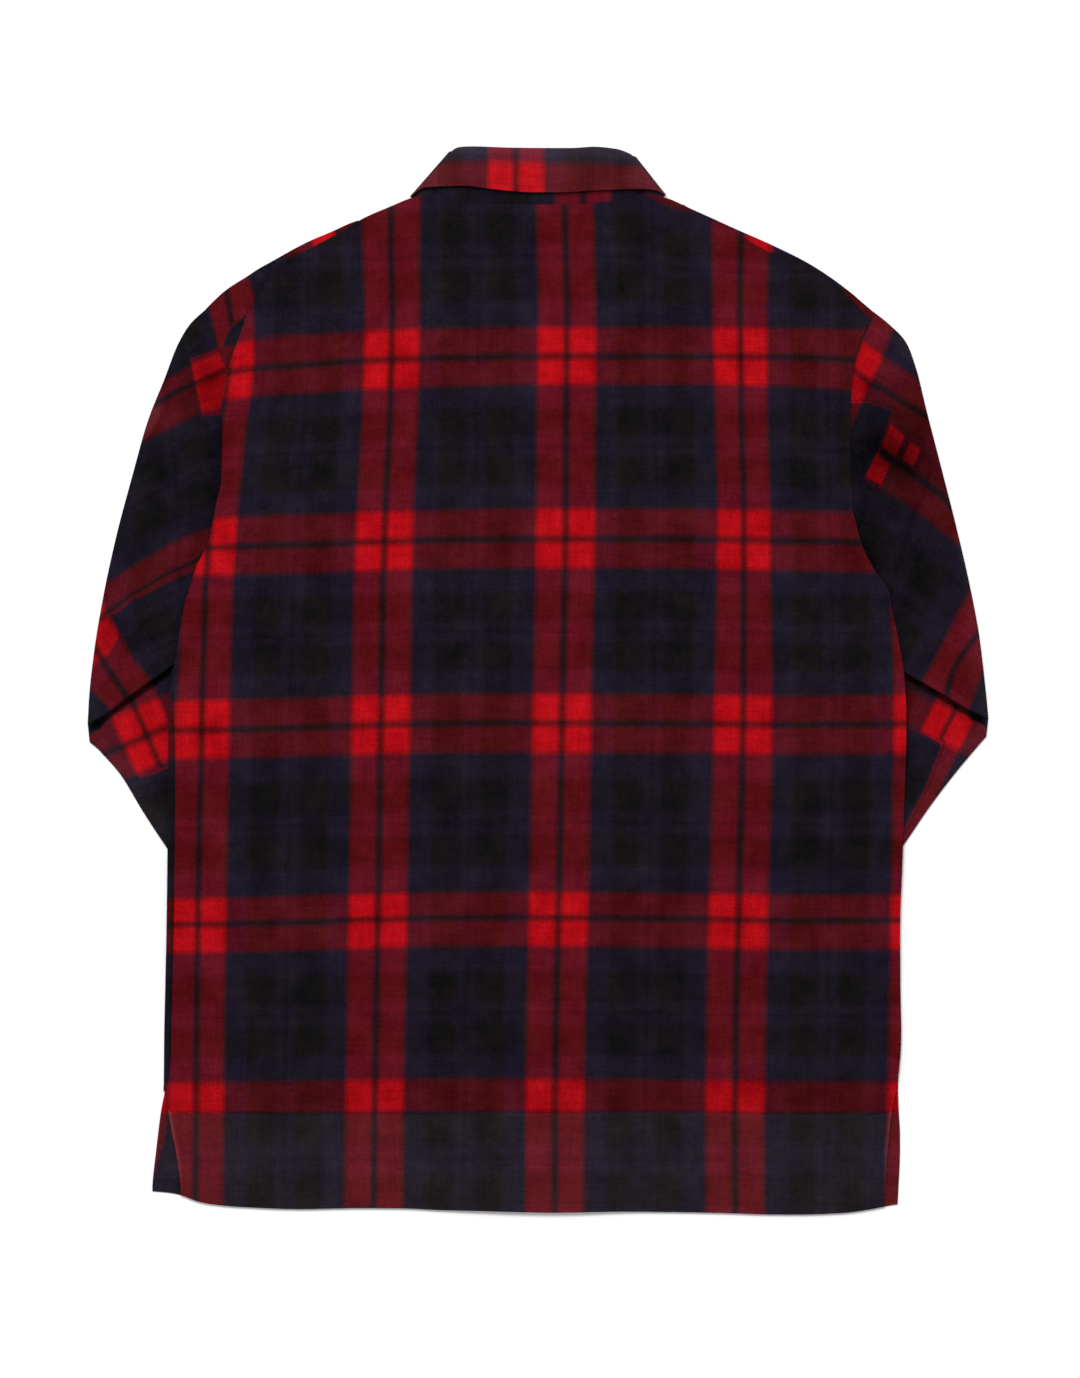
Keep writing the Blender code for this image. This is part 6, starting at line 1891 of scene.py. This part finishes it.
class SHIRT_OT_fronts(bpy.types.Operator):
    """Makes both fronts and the placket"""
    bl_idname = "shirt.fronts"
    bl_label = "Fronts and placket"

    def execute(self, context):
        fit("front_left", make_front_left)
        fit("front_right", make_front_right)
        fit("placket", make_placket)
        return {"FINISHED"}


class SHIRT_OT_sleeves(bpy.types.Operator):
    """Makes both sleeves"""
    bl_idname = "shirt.sleeves"
    bl_label = "Sleeves"

    def execute(self, context):
        for side, word in WORD.items():
            fit(f"sleeve_{word}", make_sleeve, side)
        return {"FINISHED"}


class SHIRT_OT_cuffs(bpy.types.Operator):
    """Makes both cuffs"""
    bl_idname = "shirt.cuffs"
    bl_label = "Cuffs"

    def execute(self, context):
        for side, word in WORD.items():
            fit(f"cuff_{word}", make_cuff, side)
        return {"FINISHED"}


class SHIRT_OT_collar(bpy.types.Operator):
    """Makes the collar's stand and leaf"""
    bl_idname = "shirt.collar"
    bl_label = "Collar"

    def execute(self, context):
        fit("collar_stand", make_stand)
        fit("collar_leaf", make_leaf)
        return {"FINISHED"}


class SHIRT_OT_buttons(bpy.types.Operator):
    """Makes the buttons"""
    bl_idname = "shirt.buttons"
    bl_label = "Buttons"

    def execute(self, context):
        material = resin()
        for name, x, y, low, thickness, faces_down in buttons():
            piece = make_button(f"{name}_disc", x, y, low, thickness, faces_down, material)
            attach(piece, "root")
            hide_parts(name)
        return {"FINISHED"}


class SHIRT_OT_stitching(bpy.types.Operator):
    """Sews the lines of stitching"""
    bl_idname = "shirt.stitching"
    bl_label = "Stitching"

    def execute(self, context):
        sewing = context.scene.shirt_sewing
        material = thread_finish()
        for name, lines in sewing_lines().items():
            piece = stitches(name, lines, material, sewing.pitch / MM, sewing.thread / MM)
            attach(piece, "root")
        return {"FINISHED"}


class SHIRT_OT_stage(bpy.types.Operator):
    """Lays the floor and sets the light and the camera"""
    bl_idname = "shirt.stage"
    bl_label = "Stage"

    def execute(self, context):
        studio = context.scene.shirt_studio
        scene = context.scene
        u = np.linspace(-0.5, 0.5, 9) * studio.floor / MM
        x, y = np.meshgrid(u, u)
        points = np.stack([x, y, 0.0 * x + FLOOR_LEVEL], axis=-1).reshape(-1, 3)
        finish, tree, shader, place = new_material("pale_floor")
        tone = maths(tree, "MULTIPLY_ADD", noise(tree, place, 3.0, 2.0), 0.004, 0.898)
        tree.links.new(add(tree, "ShaderNodeCombineColor", in_0=tone, in_1=tone,
                           in_2=tone).outputs[0], shader.inputs["Base Color"])
        shader.inputs["Roughness"].default_value = 0.9
        shader.inputs["Specular IOR Level"].default_value = 0.1
        floor = make_mesh("floor", points, cells(numbered(*x.shape)), finish)

        world = bpy.data.worlds.new("studio")
        world.use_nodes = True
        even_light = world.node_tree.nodes["Background"]
        even_light.inputs[0].default_value = (1.0, 1.0, 1.0, 1.0)
        even_light.inputs[1].default_value = studio.sky
        scene.world = world
        lamp = bpy.data.lights.new("soft_lamp", "AREA")
        lamp.shape = "DISK"
        lamp.size = LAMP_SIZE
        lamp.energy = studio.lamp
        light = bpy.data.objects.new("soft_lamp", lamp)
        light.location = LAMP_PLACE
        light.rotation_euler = (-math.atan2(LAMP_PLACE[1], LAMP_PLACE[2]), 0.0, 0.0)
        scene.collection.objects.link(light)

        lens = bpy.data.cameras.new("above")
        lens.sensor_fit = "VERTICAL"
        lens.sensor_height = SENSOR
        lens.lens = SENSOR * studio.distance / studio.view_height
        lens.clip_end = 50.0
        camera = bpy.data.objects.new("above", lens)
        camera.location = (*VIEW_MIDDLE, studio.distance)
        scene.collection.objects.link(camera)
        scene.camera = camera
        scene.view_settings.view_transform = "Standard"
        return {"FINISHED"}


class SHIRT_PT_panel(bpy.types.Panel):
    """Lists the shirt's pieces and their settings"""
    bl_idname = "SHIRT_PT_panel"
    bl_label = "Flannel shirt"
    bl_space_type = "VIEW_3D"
    bl_region_type = "UI"
    bl_category = "Shirt"

    def draw(self, context):
        for step in STEPS:
            self.layout.operator(step.bl_idname)
        for title, settings in (("Cloth", context.scene.flannel_cloth),
                                ("Sewing", context.scene.shirt_sewing),
                                ("Studio", context.scene.shirt_studio)):
            box = self.layout.box()
            box.label(text=title)
            for name in settings.__annotations__:
                box.prop(settings, name)


STEPS = (SHIRT_OT_back, SHIRT_OT_fronts, SHIRT_OT_sleeves, SHIRT_OT_cuffs, SHIRT_OT_collar,
         SHIRT_OT_buttons, SHIRT_OT_stitching, SHIRT_OT_stage)
CLASSES = (FlannelSettings, SewingSettings, StudioSettings) + STEPS + (SHIRT_PT_panel,)


def register():
    """Adds the classes and the scene's settings to Blender."""
    for item in CLASSES:
        bpy.utils.register_class(item)
    bpy.types.Scene.flannel_cloth = PointerProperty(type=FlannelSettings)
    bpy.types.Scene.shirt_sewing = PointerProperty(type=SewingSettings)
    bpy.types.Scene.shirt_studio = PointerProperty(type=StudioSettings)


def unregister():
    """Takes them out again."""
    del bpy.types.Scene.shirt_studio
    del bpy.types.Scene.shirt_sewing
    del bpy.types.Scene.flannel_cloth
    for item in reversed(CLASSES):
        bpy.utils.unregister_class(item)


def main():
    """Makes every piece in order."""
    register()
    for step in STEPS:
        area, name = step.bl_idname.split(".")
        getattr(getattr(bpy.ops, area), name)()


if __name__ == "__main__":
    main()
